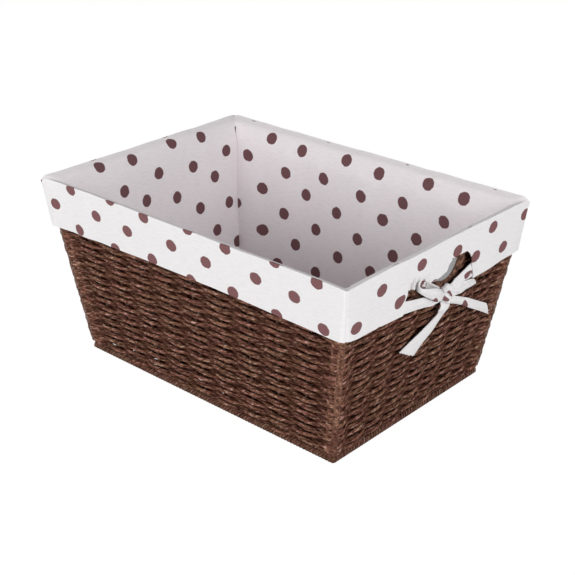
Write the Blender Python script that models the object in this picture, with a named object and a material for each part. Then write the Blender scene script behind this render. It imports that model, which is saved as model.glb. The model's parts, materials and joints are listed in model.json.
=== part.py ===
"""Lined rope basket: a wire frame woven with paper rope, with a sewn cotton liner tied by bows.

Metres, +Z up. The origin is at the middle of the base. The long sides face -Y and +Y, and the
short sides, with the hand holes and the bows, face -X and +X.
"""

import bpy
import bmesh
import math
from mathutils import Matrix, Vector

for old in list(bpy.data.objects):
    bpy.data.objects.remove(old, do_unlink=True)

# Overall sizes, over the cloth at the rim and over the weave at the base
cloth_top_length = 0.380
cloth_top_width = 0.265
basket_height = 0.185
weave_base_length = 0.321
weave_base_width = 0.219

# Clearances and cutting
clearance = 0.0003
cut_overrun = 0.004

# Wire frame
rim_wire_diameter = 0.005
base_wire_diameter = 0.0044
post_wire_diameter = 0.004
handle_wire_diameter = 0.004
stake_diameter = 0.003
stake_bend_radius = 0.0055
cross_stake_count = 9
long_stake_count = 7

# Rope work
weave_thickness = 0.010
course_height = 0.0104
course_depth = 0.0012
weave_corner_radius = 0.006
rim_wrap_diameter = 0.010
rim_corner_radius = 0.003
base_wrap_diameter = 0.008
base_corner_radius = 0.0035
post_wrap_diameter = 0.0072
handle_wrap_diameter = 0.010
least_corner_radius = 0.001
wrap_slit_width = 0.0038

# Hand holes, seen from the side
hand_hole_width = 0.063
hand_hole_depth = 0.0285
hand_hole_corner_radius = 0.014

# Floor
mat_underside_height = 0.004

# Liner
cloth_thickness = 0.0012
cuff_drop = 0.0486
hem_end_stand_off = 0.0048
hem_side_stand_off = 0.0029
roll_corner_radius = 0.004
hem_corner_radius = 0.007
hem_sag = 0.0045
fold_depth = 0.0016
notch_foot_width = 0.098
notch_top_width = 0.076
notch_top_drop = 0.0235

# Ties and bows
tie_width = 0.011
tie_thickness = 0.0012
tie_overlap = 0.005
knot_length = 0.016
knot_height = 0.014
knot_depth = 0.008
knot_bevel = 0.0012
knot_side_shift = 0.013
knot_drop = 0.0064
tie_and_loop_gap = 0.0008
near_loop_width = 0.0096
far_loop_width = 0.0064
loop_length = 0.042
loop_bulge = 0.006
near_tail_width = 0.014
far_tail_width = 0.0115
tail_drop = 0.0462
tail_stand_off = 0.0022

# Facets
corner_segments = 4
wrap_segments = 9
bore_segments = 6
tube_resolution = 2
bend_segments = 4
cloth_roll_segments = 6
tube_sides = 4 + 2 * tube_resolution

# Cloth folds along each side, as shares of the half side
fold_shares = (-0.62, -0.18, 0.34, 0.7)
fold_width_share = 0.09
panel_station_shares = (-0.8, -0.62, -0.4, -0.18, 0.08, 0.34, 0.52, 0.7, 0.86)
wall_height_shares = (0.0, 0.3, 0.62, 0.88, 1.0)
cuff_fall_shares = (0.35, 0.7, 1.0)

# The bow's paths, as shares of the loops' length and bulge and of the tails' drop
near_loop_shares = ((0.0, 0.0), (0.4, 0.0), (0.8, 0.03), (0.96, 0.22), (1.0, 0.5),
                    (0.94, 0.82), (0.7, 1.0), (0.35, 0.85), (0.0, 0.4))
far_loop_shares = ((0.0, -0.2), (0.35, -0.42), (0.75, -0.5), (0.95, -0.34), (1.0, 0.0),
                   (0.95, 0.34), (0.75, 0.5), (0.35, 0.42), (0.0, 0.2))
near_tail_shares = ((-0.065, 0.0), (0.0, 0.21), (-0.01, 0.43), (-0.15, 0.6), (-0.41, 0.78),
                    (-0.75, 1.0))
near_loop_aim_shares = (0.93, 0.36)
far_loop_aim_shares = (0.98, -0.17)
far_tail_shares = ((0.065, 0.0), (0.3, 0.18), (0.69, 0.34), (1.1, 0.49), (1.93, 0.96))


# Worked-out sizes of the frame
rim_axis_height = basket_height - cloth_thickness - clearance - rim_wrap_diameter / 2
rim_inset = cloth_thickness + clearance + rim_wrap_diameter / 2
hem_height = basket_height - cuff_drop
notch_top_height = basket_height - notch_top_drop
mid_top_length = cloth_top_length - 2 * rim_inset
mid_top_width = cloth_top_width - 2 * rim_inset
mid_base_length = weave_base_length - weave_thickness
mid_base_width = weave_base_width - weave_thickness
length_slope = (mid_top_length - mid_base_length) / 2 / rim_axis_height
width_slope = (mid_top_width - mid_base_width) / 2 / rim_axis_height
half_weave = weave_thickness / 2
stake_radius = stake_diameter / 2

base_side_angle = math.pi - math.asin(wrap_slit_width / base_wrap_diameter)
base_step_angle = 2 * base_side_angle / wrap_segments
base_axis_height = base_wrap_diameter / 2 * math.cos(base_step_angle / 2)
base_axis_offset = half_weave - base_wrap_diameter / 2
base_wrap_top = base_axis_height + base_wrap_diameter / 2

weave_bottom = base_wrap_top + clearance
weave_top = rim_axis_height - rim_wrap_diameter / 2 - clearance
cross_stake_height = base_wrap_top + clearance + stake_radius
long_stake_height = cross_stake_height + stake_diameter + clearance
wall_lean = math.atan((length_slope + width_slope) / 2)
corner_lean = math.atan(math.hypot(length_slope, width_slope))
stake_top = rim_axis_height - rim_wire_diameter / 2 - clearance - stake_radius * math.sin(wall_lean)
liner_floor_bottom = long_stake_height + stake_radius + clearance
liner_inset = half_weave + clearance + cloth_thickness / 2
post_offset = half_weave - post_wrap_diameter / 2
post_bottom = weave_bottom + math.sin(corner_lean) * post_wrap_diameter / 2
post_top = weave_top - math.sin(corner_lean) * post_wrap_diameter / 2
handle_top = weave_top - math.sin(wall_lean) * handle_wrap_diameter / 2

handle_axis_radius = hand_hole_corner_radius + handle_wrap_diameter / 2
handle_half_width = hand_hole_width / 2 + handle_wrap_diameter / 2
handle_bottom = weave_top - hand_hole_depth - handle_wrap_diameter / 2
handle_arc_height = handle_bottom + handle_axis_radius
handle_arc_place = handle_half_width - handle_axis_radius


def half_length(height):
    """Half the basket's length at a height, to the middle of the weave."""
    return mid_base_length / 2 + length_slope * height


def half_width(height):
    """Half the basket's width at a height, to the middle of the weave."""
    return mid_base_width / 2 + width_slope * height


hem_length = 2 * (half_length(hem_height) + half_weave + hem_end_stand_off)
hem_width = 2 * (half_width(hem_height) + half_weave + hem_side_stand_off)


def material(name, colour, roughness, metallic=0.0):
    made = bpy.data.materials.new(name)
    made.use_nodes = True
    shader = made.node_tree.nodes["Principled BSDF"]
    shader.inputs["Base Color"].default_value = (*colour, 1.0)
    shader.inputs["Roughness"].default_value = roughness
    shader.inputs["Metallic"].default_value = metallic
    made.diffuse_color = (*colour, 1.0)
    return made


wire_steel = material("wire_steel", (0.32, 0.31, 0.30), 0.42, 1.0)
dark_rope = material("dark_rope", (0.105, 0.052, 0.036), 0.78)
brown_wrap = material("brown_wrap", (0.15, 0.078, 0.054), 0.7)
cotton = material("cotton", (0.80, 0.785, 0.79), 0.9)
dotted_cotton = material("dotted_cotton", (0.74, 0.70, 0.71), 0.9)


def add_object(name, mesh, finish):
    made = bpy.data.objects.new(name, mesh)
    made.data.materials.clear()
    made.data.materials.append(finish)
    bpy.context.scene.collection.objects.link(made)
    return made


def add_cutter(name, mesh):
    cutter = bpy.data.objects.new(name, mesh)
    bpy.context.scene.collection.objects.link(cutter)
    cutter.hide_render = True
    cutter.display_type = "WIRE"
    return cutter


def cut(body, cutter):
    step = body.modifiers.new("cut_" + cutter.name, "BOOLEAN")
    step.operation = "DIFFERENCE"
    step.solver = "EXACT"
    step.object = cutter


def skin_loops(name, loops, ring_closed, tube_closed):
    """A mesh through loops of points. Each loop is closed or open, and so is the row of loops."""
    shape = bmesh.new()
    rows = [[shape.verts.new(point) for point in loop] for loop in loops]
    count = len(rows[0])
    last_row = len(rows) if tube_closed else len(rows) - 1
    last_place = count if ring_closed else count - 1
    for index in range(last_row):
        row = rows[index]
        following = rows[(index + 1) % len(rows)]
        for place in range(last_place):
            beside = (place + 1) % count
            shape.faces.new((row[place], row[beside], following[beside], following[place]))
    if ring_closed and not tube_closed:
        shape.faces.new(list(reversed(rows[0])))
        shape.faces.new(rows[-1])
    bmesh.ops.recalc_face_normals(shape, faces=shape.faces)
    if ring_closed and shape.calc_volume(signed=True) < 0:
        bmesh.ops.reverse_faces(shape, faces=shape.faces)
    mesh = bpy.data.meshes.new(name)
    shape.to_mesh(mesh)
    shape.free()
    return mesh


def smooth(mesh, degrees=50.0):
    mesh.shade_smooth()
    mesh.set_sharp_from_angle(angle=math.radians(degrees))
    return mesh


def tube_mesh(name, points, radius, closed=False, filled=True):
    """A round tube along points, from a curve with a bevel."""
    curve = bpy.data.curves.new(name, "CURVE")
    curve.dimensions = "3D"
    curve.bevel_depth = radius
    curve.bevel_resolution = tube_resolution
    curve.use_fill_caps = filled and not closed
    spline = curve.splines.new("POLY")
    spline.points.add(len(points) - 1)
    for knot, point in zip(spline.points, points):
        knot.co = (*point, 1.0)
    spline.use_cyclic_u = closed
    guide = bpy.data.objects.new(name + "_guide", curve)
    bpy.context.scene.collection.objects.link(guide)
    bpy.context.view_layer.update()
    graph = bpy.context.evaluated_depsgraph_get()
    mesh = bpy.data.meshes.new_from_object(guide.evaluated_get(graph))
    bpy.data.objects.remove(guide, do_unlink=True)
    shape = bmesh.new()
    shape.from_mesh(mesh)
    bmesh.ops.remove_doubles(shape, verts=shape.verts, dist=clearance / 100)
    bmesh.ops.recalc_face_normals(shape, faces=shape.faces)
    shape.to_mesh(mesh)
    shape.free()
    return smooth(mesh)


def ring_loop(across, deep, radius, height):
    """A rounded rectangle at a height, from its half sizes and corner radius."""
    points = []
    corners = ((1, 1, 0.0), (-1, 1, 0.5), (-1, -1, 1.0), (1, -1, 1.5))
    for side_x, side_y, turn in corners:
        centre_x = side_x * (across - radius)
        centre_y = side_y * (deep - radius)
        for step in range(corner_segments + 1):
            angle = math.pi * (turn + 0.5 * step / corner_segments)
            x = centre_x + radius * math.cos(angle)
            y = centre_y + radius * math.sin(angle)
            points.append((x, y, height))
    return points


def offset_loop(offset, height, radius, at_height=None):
    """The ring that lies an offset outside the middle of the weave."""
    level = height if at_height is None else at_height
    across = half_length(level) + offset
    deep = half_width(level) + offset
    return ring_loop(across, deep, max(radius, least_corner_radius), height)


def slit_profile(outer_radius, wire_radius, slit_angle):
    """A round wrap with a bore round its wire and a slit, as offsets and heights from its axis."""
    half_slit = wrap_slit_width / 2
    outer_side = math.pi - math.asin(half_slit / outer_radius)
    bore_radius = (wire_radius + clearance) / math.cos(math.pi / (bore_segments + 1))
    bore_side = math.pi - math.asin(half_slit / bore_radius)
    points = []
    for step in range(wrap_segments + 1):
        angle = slit_angle + math.pi - outer_side + 2 * outer_side * step / wrap_segments
        points.append((outer_radius * math.cos(angle), outer_radius * math.sin(angle)))
    for step in range(bore_segments + 1):
        angle = slit_angle + math.pi + bore_side - 2 * bore_side * step / bore_segments
        points.append((bore_radius * math.cos(angle), bore_radius * math.sin(angle)))
    return points


def ring_wrap(name, axis_offset, axis_height, diameter, wire_diameter, slit_angle,
              corner_radius):
    loops = []
    for out, up in slit_profile(diameter / 2, wire_diameter / 2, slit_angle):
        loop = offset_loop(axis_offset + out, axis_height + up, corner_radius + out, axis_height)
        loops.append(loop)
    mesh = skin_loops(name, loops, ring_closed=True, tube_closed=True)
    return add_object(name, smooth(mesh), dark_rope)


def fillet(before, corner, after, radius):
    """Points of a round bend between two straight runs that meet at a corner."""
    back = (before - corner).normalized()
    ahead = (after - corner).normalized()
    half_angle = back.angle(ahead) / 2
    reach = radius / math.tan(half_angle)
    centre = corner + (back + ahead).normalized() * (radius / math.sin(half_angle))
    first = corner + back * reach - centre
    axis = first.cross(corner + ahead * reach - centre).normalized()
    sweep = math.pi - 2 * half_angle
    points = []
    for step in range(bend_segments + 1):
        turned = Matrix.Rotation(sweep * step / bend_segments, 3, axis) @ first
        points.append(centre + turned)
    return points


def handle_outer_bottom(place):
    """The height of the hand hole wrap's underside at a place along the short side."""
    reach = max(abs(place) - stake_radius - handle_arc_place, 0.0)
    outer_radius = handle_axis_radius + handle_wrap_diameter / 2
    if reach >= outer_radius:
        return stake_top + clearance
    return handle_arc_height - math.sqrt(outer_radius**2 - reach**2)


def cross_stake_route(share, top=stake_top):
    """Down the front wall, across the floor and up the back wall."""
    floor = cross_stake_height
    front_top = Vector((share * half_length(top), -half_width(top), top))
    front_foot = Vector((share * half_length(floor), -half_width(floor), floor))
    back_foot = Vector((front_foot.x, -front_foot.y, floor))
    back_top = Vector((front_top.x, -front_top.y, top))
    route = [front_top]
    route += fillet(front_top, front_foot, back_foot, stake_bend_radius)
    route += fillet(front_foot, back_foot, back_top, stake_bend_radius)
    route.append(back_top)
    return route


def long_stake_route(share, top=None):
    """Down the left wall, along the floor and up the right wall, below the hand holes if need be."""
    floor = long_stake_height
    if top is None:
        place = share * half_width(handle_arc_height)
        top = min(stake_top, handle_outer_bottom(place) - clearance)
    left_top = Vector((-half_length(top), share * half_width(top), top))
    left_foot = Vector((-half_length(floor), share * half_width(floor), floor))
    right_foot = Vector((-left_foot.x, left_foot.y, floor))
    right_top = Vector((-left_top.x, left_top.y, top))
    route = [left_top]
    route += fillet(left_top, left_foot, right_foot, stake_bend_radius)
    route += fillet(left_foot, right_foot, right_top, stake_bend_radius)
    route.append(right_top)
    return route


def stake_shares(count):
    spacing = 2.0 / (count + 1)
    return [spacing * (index + 1) - 1.0 for index in range(count)]


def post_route(side_x, side_y, low, high):
    points = []
    for height in (low, high):
        x = side_x * (half_length(height) + post_offset)
        y = side_y * (half_width(height) + post_offset)
        points.append(Vector((x, y, height)))
    return points


def handle_route(side):
    """The path of the hand hole's border, from the rim down, along and up again."""
    flat_points = [(-handle_half_width, handle_top)]
    for step in range(bend_segments + 1):
        angle = math.pi * (1 + 0.5 * step / bend_segments)
        y = -handle_arc_place + handle_axis_radius * math.cos(angle)
        flat_points.append((y, handle_arc_height + handle_axis_radius * math.sin(angle)))
    for y, height in reversed(flat_points[:]):
        flat_points.append((-y, height))
    return [Vector((side * half_length(height), y, height)) for y, height in flat_points]


# Wire frame
rim_wire_points = offset_loop(0.0, rim_axis_height, rim_corner_radius)
rim_wire_mesh = tube_mesh("rim_wire", rim_wire_points, rim_wire_diameter / 2, closed=True)
add_object("rim_wire", rim_wire_mesh, wire_steel)
base_wire_points = offset_loop(base_axis_offset, base_axis_height, base_corner_radius)
base_wire_mesh = tube_mesh("base_wire", base_wire_points, base_wire_diameter / 2, closed=True)
add_object("base_wire", base_wire_mesh, wire_steel)

for index, share in enumerate(stake_shares(cross_stake_count)):
    name = f"cross_stake_{index + 1}"
    add_object(name, tube_mesh(name, cross_stake_route(share), stake_radius), wire_steel)
for index, share in enumerate(stake_shares(long_stake_count)):
    name = f"long_stake_{index + 1}"
    add_object(name, tube_mesh(name, long_stake_route(share), stake_radius), wire_steel)

corner_names = {
    (-1, -1): "front_left",
    (1, -1): "front_right",
    (1, 1): "back_right",
    (-1, 1): "back_left",
}
flat_share = math.cos(math.pi / tube_sides)
post_wrap_wall = (post_wrap_diameter - post_wire_diameter) / 2 * flat_share - clearance
for (side_x, side_y), corner in corner_names.items():
    route = post_route(side_x, side_y, post_bottom, post_top)
    name = f"corner_wire_{corner}"
    add_object(name, tube_mesh(name, route, post_wire_diameter / 2), wire_steel)
    name = f"corner_wrap_{corner}"
    mesh = tube_mesh(name, route, post_wrap_diameter / 2, filled=False)
    wrap = add_object(name, mesh, brown_wrap)
    shell = wrap.modifiers.new("shell", "SOLIDIFY")
    shell.thickness = post_wrap_wall
    shell.offset = -1.0
    shell.use_even_offset = True

side_names = {-1: "left", 1: "right"}
handle_wrap_wall = (handle_wrap_diameter - handle_wire_diameter) / 2 * flat_share - clearance
for side, side_name in side_names.items():
    route = handle_route(side)
    name = f"handle_wire_{side_name}"
    add_object(name, tube_mesh(name, route, handle_wire_diameter / 2), wire_steel)
    name = f"handle_wrap_{side_name}"
    mesh = tube_mesh(name, route, handle_wrap_diameter / 2, filled=False)
    wrap = add_object(name, mesh, dark_rope)
    shell = wrap.modifiers.new("shell", "SOLIDIFY")
    shell.thickness = handle_wrap_wall
    shell.offset = -1.0
    shell.use_even_offset = True

# Wrapped rims, each split by a slit where the stakes tie in
ring_wrap("rim_wrap", 0.0, rim_axis_height, rim_wrap_diameter, rim_wire_diameter,
          -math.pi / 2 - wall_lean, rim_corner_radius)
ring_wrap("base_wrap", base_axis_offset, base_axis_height, base_wrap_diameter,
          base_wire_diameter, math.pi / 2, base_corner_radius)

# Woven wall: ribbed courses outside, cut by the stakes' channels, the posts and the hand holes
course_count = round((weave_top - weave_bottom) / course_height)
course_rise = (weave_top - weave_bottom) / course_count
wall_loops = []
for level in range(2 * course_count + 1):
    height = weave_bottom + course_rise * level / 2
    offset = half_weave - course_depth * (1 - level % 2)
    wall_loops.append(offset_loop(offset, height, weave_corner_radius))
wall_loops.append(offset_loop(-half_weave, weave_top, least_corner_radius))
wall_loops.append(offset_loop(-half_weave, weave_bottom, least_corner_radius))
woven_wall = add_object("woven_wall", skin_loops("woven_wall", wall_loops, True, True), dark_rope)

channel_radius = stake_radius + clearance
channel_top = weave_top + cut_overrun


def join_meshes(name, meshes):
    shape = bmesh.new()
    for mesh in meshes:
        shape.from_mesh(mesh)
    joined = bpy.data.meshes.new(name)
    shape.to_mesh(joined)
    shape.free()
    return joined


cross_channels = []
for share in stake_shares(cross_stake_count):
    route = cross_stake_route(share, channel_top)
    cross_channels.append(tube_mesh("channel", route, channel_radius))
cross_cutter = add_cutter("cross_channels", join_meshes("cross_channels", cross_channels))

long_channels = []
for share in stake_shares(long_stake_count):
    route = long_stake_route(share, channel_top)
    long_channels.append(tube_mesh("channel", route, channel_radius))
long_cutter = add_cutter("long_channels", join_meshes("long_channels", long_channels))

post_hollows = []
for side_x, side_y in corner_names:
    route = post_route(side_x, side_y, weave_bottom - cut_overrun, weave_top + cut_overrun)
    post_hollows.append(tube_mesh("hollow", route, post_wrap_diameter / 2 + clearance))
post_cutter = add_cutter("post_hollows", join_meshes("post_hollows", post_hollows))


def hand_hole_outline(margin):
    """The outline of the hand hole with its border, as places along the side and heights."""
    radius = handle_axis_radius + handle_wrap_diameter / 2 + margin
    reach = handle_arc_place + radius
    outline = [(-reach, weave_top + cut_overrun)]
    for step in range(2 * bend_segments + 1):
        angle = math.pi * (1 + 0.25 * step / bend_segments)
        y = -handle_arc_place + radius * math.cos(angle)
        outline.append((y, handle_arc_height + radius * math.sin(angle)))
    for y, height in reversed(outline[:]):
        outline.append((-y, height))
    return outline


cutter_reach = cloth_top_length / 2 + cut_overrun
hole_loops = []
for x in (-cutter_reach, cutter_reach):
    hole_loops.append([(x, y, height) for y, height in hand_hole_outline(2 * clearance)])
hole_cutter = add_cutter("hand_holes", skin_loops("hand_holes", hole_loops, True, False))

for cutter in (cross_cutter, long_cutter, post_cutter, hole_cutter):
    cut(woven_wall, cutter)

# Woven floor mat, ribbed underneath and grooved on top for the cross stakes
mat_top = cross_stake_height
mat_half_length = half_length(weave_bottom) - half_weave - clearance
mat_half_width = half_width(weave_bottom) - half_weave - clearance
mat_courses = round(2 * mat_half_width / course_height)
mat_loops = []
for level in range(2 * mat_courses + 1):
    y = -mat_half_width + mat_half_width * level / mat_courses
    low = mat_underside_height + course_depth * (1 - level % 2)
    mat_loops.append([
        (-mat_half_length, y, low),
        (mat_half_length, y, low),
        (mat_half_length, y, mat_top),
        (-mat_half_length, y, mat_top),
    ])
floor_mat = add_object("floor_mat", skin_loops("floor_mat", mat_loops, True, False), dark_rope)
cut(floor_mat, cross_cutter)


# Liner
def side_run(run, depth, radius, stations):
    """One side of a rounded rectangle, from mid corner to mid corner, as places and depths."""
    seam_angle = math.pi / 4 - clearance / radius
    start = []
    for step in range(3):
        angle = seam_angle * (1 - step / 2)
        place = -(run - radius) - radius * math.sin(angle)
        start.append((place, depth - radius + radius * math.cos(angle)))
    middle = [(share * (run - radius), depth) for share in stations]
    end = [(-place, deep) for place, deep in reversed(start)]
    return start + middle + end


def fold_at(place_share):
    """How far the cloth's soft upright folds lift it off the wall, from 0 to 1."""
    lift = 0.0
    for share in fold_shares:
        lift += math.exp(-(((place_share - share) / fold_width_share) ** 2))
    return min(lift, 1.0)


side_turns = {
    "front": lambda place, depth, height: (place, -depth, height),
    "right": lambda place, depth, height: (depth, place, height),
    "back": lambda place, depth, height: (-place, depth, height),
    "left": lambda place, depth, height: (-depth, -place, height),
}


def notch_hem(place):
    """The hem's height at a place along a short side, raised over the hand hole."""
    foot = notch_foot_width / 2
    shoulder = notch_top_width / 2
    low = hem_height - hem_sag
    if abs(place) >= foot:
        away = (abs(place) - foot) / (hem_width / 2 - foot)
        return low + hem_sag * min(away, 1.0) ** 2
    climb = min((foot - abs(place)) / (foot - shoulder), 1.0)
    return low + (notch_top_height - low) * math.sin(climb * math.pi / 2)


def long_side_hem(place):
    share = min(abs(place) / (hem_length / 2), 1.0)
    return hem_height - hem_sag / 3 * (1 - share**2)


def liner_panel(side_name):
    short_side = side_name in ("left", "right")
    run_at = half_width if short_side else half_length
    depth_at = half_length if short_side else half_width
    hem_run = (hem_width if short_side else hem_length) / 2 - cloth_thickness / 2
    hem_depth = (hem_length if short_side else hem_width) / 2 - cloth_thickness / 2
    stations = panel_station_shares
    if short_side:
        straight = run_at(rim_axis_height) - rim_corner_radius
        foot = notch_foot_width / 2 / straight
        shoulder = notch_top_width / 2 / straight
        half_row = (0.8, 0.6, foot * 1.03, (foot + shoulder) / 2, shoulder, shoulder * 0.65,
                    shoulder * 0.25)
        stations = [-share for share in half_row] + list(reversed(half_row))
    rows = []
    for share in wall_height_shares:
        height = liner_floor_bottom + share * (rim_axis_height - liner_floor_bottom)
        run = side_run(run_at(height) - liner_inset, depth_at(height) - liner_inset,
                       least_corner_radius, stations)
        ease = math.sin(math.pi * min(share / 0.9, 1.0))
        row = []
        for place, depth in run:
            lift = fold_depth * ease * fold_at(place / run_at(height))
            row.append((place, depth - lift, height))
        rows.append(row)
    roll_radius = rim_wrap_diameter / 2 + clearance + cloth_thickness / 2
    for step in range(1, cloth_roll_segments + 1):
        angle = math.pi * (1 - step / cloth_roll_segments)
        offset = roll_radius * math.cos(angle)
        height = rim_axis_height + roll_radius * math.sin(angle)
        radius = least_corner_radius + (roll_corner_radius - least_corner_radius) * (
            step / cloth_roll_segments)
        run = side_run(run_at(rim_axis_height) + offset, depth_at(rim_axis_height) + offset,
                       radius, stations)
        rows.append([(place, depth, height) for place, depth in run])
    top_row = rows[-1]
    hem_run_points = side_run(hem_run, hem_depth, hem_corner_radius, stations)
    for share in cuff_fall_shares:
        row = []
        for (place, depth, height), (hem_place, hem_deep) in zip(top_row, hem_run_points):
            end_height = notch_hem(hem_place) if short_side else long_side_hem(hem_place)
            fall = share * (height - end_height) / (height - hem_height)
            at_place = place + (hem_place - place) * fall
            at_depth = depth + (hem_deep - depth) * fall
            row.append((at_place, at_depth, height + (end_height - height) * share))
        rows.append(row)
    turn = side_turns[side_name]
    loops = [[turn(*point) for point in row] for row in rows]
    name = f"liner_{side_name}"
    mesh = skin_loops(name, loops, ring_closed=False, tube_closed=False)
    panel = add_object(name, smooth(mesh, 60.0), dotted_cotton)
    cloth = panel.modifiers.new("cloth", "SOLIDIFY")
    cloth.thickness = cloth_thickness
    cloth.offset = 0.0
    cloth.use_even_offset = True
    return panel


for side_name in side_turns:
    liner_panel(side_name)

liner_floor_top = liner_floor_bottom + cloth_thickness
floor_inset = -(liner_inset + cloth_thickness / 2 + clearance)
liner_floor_loops = []
for height in (liner_floor_bottom, liner_floor_top):
    liner_floor_loops.append(offset_loop(floor_inset, height, least_corner_radius,
                                         liner_floor_bottom))
liner_floor_mesh = skin_loops("liner_floor", liner_floor_loops, True, False)
add_object("liner_floor", liner_floor_mesh, dotted_cotton)


# Ties and bows, modelled at the right side and turned half round for the left
outward = Vector((1, 0, 0))
sideways = Vector((0, 1, 0))
upward = Vector((0, 0, 1))
weave_facing = Vector((1, 0, -length_slope)).normalized()
cuff_slope = (cloth_top_length - hem_length) / 2 / (rim_axis_height - hem_height)
cuff_facing = Vector((1, 0, -cuff_slope)).normalized()

knot_back = half_length(handle_bottom) + handle_wrap_diameter / 2 + 2 * clearance
knot_middle = Vector((knot_back + knot_depth / 2, knot_side_shift, hem_height - knot_drop))
knot_flank = knot_length / 2 + clearance
knot_underside = knot_middle.z - knot_height / 2 - clearance
tie_layer = knot_back + knot_bevel + tie_thickness / 2
loop_layer = tie_layer + tie_thickness + cuff_slope * tie_width / 2 + tie_and_loop_gap


def in_plane(direction, normal):
    return (direction - normal * direction.dot(normal)).normalized()


def strap_mesh(name, points, width, thickness, facing, first_plane=None, last_plane=None):
    """A flat strap along points with its face looking along facing.

    Its first and last ends can be cut along a plane, given by the plane's normal.
    """
    loops = []
    last = len(points) - 1
    for index, point in enumerate(points):
        along = (points[min(index + 1, last)] - points[max(index - 1, 0)]).normalized()
        wide = facing(along).normalized()
        flat = along.cross(wide).normalized()
        plane = {0: first_plane, last: last_plane}.get(index)
        if plane is not None:
            wide = in_plane(wide, plane)
            flat = in_plane(flat, plane)
        side = wide * width / 2
        lift = flat * thickness / 2
        loops.append([point - side - lift, point + side - lift,
                      point + side + lift, point - side + lift])
    return smooth(skin_loops(name, loops, ring_closed=True, tube_closed=False))


def smooth_route(anchors, pieces):
    """Points on a smooth curve through chosen points."""
    points = []
    ends = [2 * anchors[0] - anchors[1]] + anchors + [2 * anchors[-1] - anchors[-2]]
    for index in range(1, len(ends) - 2):
        before, start, stop, after = ends[index - 1:index + 3]
        for step in range(pieces):
            share = step / pieces
            points.append(0.5 * (2 * start + (stop - before) * share
                                 + (2 * before - 5 * start + 4 * stop - after) * share**2
                                 + (3 * start - before - 3 * stop + after) * share**3))
    points.append(anchors[-1])
    return points


def bow_piece(name, mesh):
    """Adds a piece at the right side and the same piece, turned half round, at the left."""
    turned = mesh.copy()
    turned.transform(Matrix.Rotation(math.pi, 4, "Z"))
    add_object(name + "_right", mesh, cotton)
    add_object(name + "_left", turned, cotton)


# The knot: a block whose edges and corners are rounded off
knot_shape = bmesh.new()
bmesh.ops.create_cube(knot_shape, size=1.0)
knot_size = Matrix.Diagonal((knot_depth, knot_length, knot_height, 1.0))
bmesh.ops.transform(knot_shape, matrix=knot_size, verts=knot_shape.verts)
bmesh.ops.bevel(knot_shape, geom=knot_shape.edges, offset=knot_bevel, segments=2, profile=0.5,
                affect="EDGES")
bmesh.ops.transform(knot_shape, matrix=Matrix.Translation(knot_middle), verts=knot_shape.verts)
knot_mesh = bpy.data.meshes.new("bow_knot")
knot_shape.to_mesh(knot_mesh)
knot_shape.free()
bow_piece("bow_knot", smooth(knot_mesh, 60.0))

# The ties: each lies behind the cuff at the notch's foot and runs to the knot's flank
for tie_name, direction in (("bow_tie_near", -1), ("bow_tie_far", 1)):
    start_height = hem_height - hem_sag + tie_width / 2
    cuff_middle = hem_length / 2 - cloth_thickness / 2 + cuff_slope * (start_height - hem_height)
    start_depth = cuff_middle - (cloth_thickness / 2 + clearance + tie_thickness / 2) / (
        math.cos(math.atan(cuff_slope)))
    start_place = direction * (notch_foot_width / 2 + tie_overlap)
    tie_start = Vector((start_depth, start_place, start_height))
    tie_turn = Vector((start_depth, direction * notch_top_width / 2, start_height))
    tie_end = Vector((tie_layer, knot_middle.y + direction * knot_flank, knot_middle.z))
    tie_points = smooth_route([tie_start, tie_turn, tie_end], 3)
    tie_mesh = strap_mesh(tie_name, tie_points, tie_width, tie_thickness, cuff_facing.cross,
                          first_plane=sideways, last_plane=sideways)
    bow_piece(tie_name, tie_mesh)

# The loops: the near one lies flat before the hand hole, the far one stands on edge
near_start = Vector((loop_layer, knot_middle.y - knot_flank, knot_middle.z + knot_height / 5))
near_aim, near_climb = near_loop_aim_shares
near_reach = Vector((0, -near_aim, near_climb)).normalized() * loop_length
near_points = []
for far, apart in near_loop_shares:
    near_points.append(near_start + near_reach * far + outward * loop_bulge * apart)
near_across = outward.cross(near_reach)
near_loop = strap_mesh("bow_loop_near", smooth_route(near_points, 2), near_loop_width,
                       tie_thickness, lambda along: near_across,
                       first_plane=sideways, last_plane=sideways)
bow_piece("bow_loop_near", near_loop)

far_layer = loop_layer - tie_thickness / 2 + far_loop_width / 2
far_start = Vector((far_layer, knot_middle.y + knot_flank, knot_middle.z - knot_height / 7))
far_aim, far_climb = far_loop_aim_shares
far_reach = Vector((0, far_aim, far_climb)).normalized() * loop_length
far_opening = outward.cross(far_reach).normalized() * loop_bulge
far_points = []
for far, apart in far_loop_shares:
    far_points.append(far_start + far_reach * far + far_opening * apart)
far_loop = strap_mesh("bow_loop_far", smooth_route(far_points, 2), far_loop_width,
                      tie_thickness, lambda along: outward,
                      first_plane=sideways, last_plane=sideways)
bow_piece("bow_loop_far", far_loop)

# The tails: both leave the knot's underside and come down to hang just off the weave
near_layer = knot_back + knot_bevel + tie_thickness
front_layer = knot_back + knot_depth - knot_bevel - tie_thickness / 2
weave_front = half_weave + clearance
for tail_name, layer, width, shares in (
    ("bow_tail_near", near_layer, near_tail_width, near_tail_shares),
    ("bow_tail_far", front_layer, far_tail_width, far_tail_shares),
):
    root_stand_off = layer - half_length(knot_underside) - weave_front
    tail_points = []
    for across_share, down_share in shares:
        height = knot_underside - tail_drop * down_share
        stand_off = tail_stand_off + (root_stand_off - tail_stand_off) * (1 - down_share) ** 2
        depth = half_length(height) + weave_front + stand_off
        tail_points.append(Vector((depth, knot_middle.y + tail_drop * across_share, height)))
    tail_mesh = strap_mesh(tail_name, smooth_route(tail_points, 2), width, tie_thickness,
                           weave_facing.cross, first_plane=upward)
    bow_piece(tail_name, tail_mesh)
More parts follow.
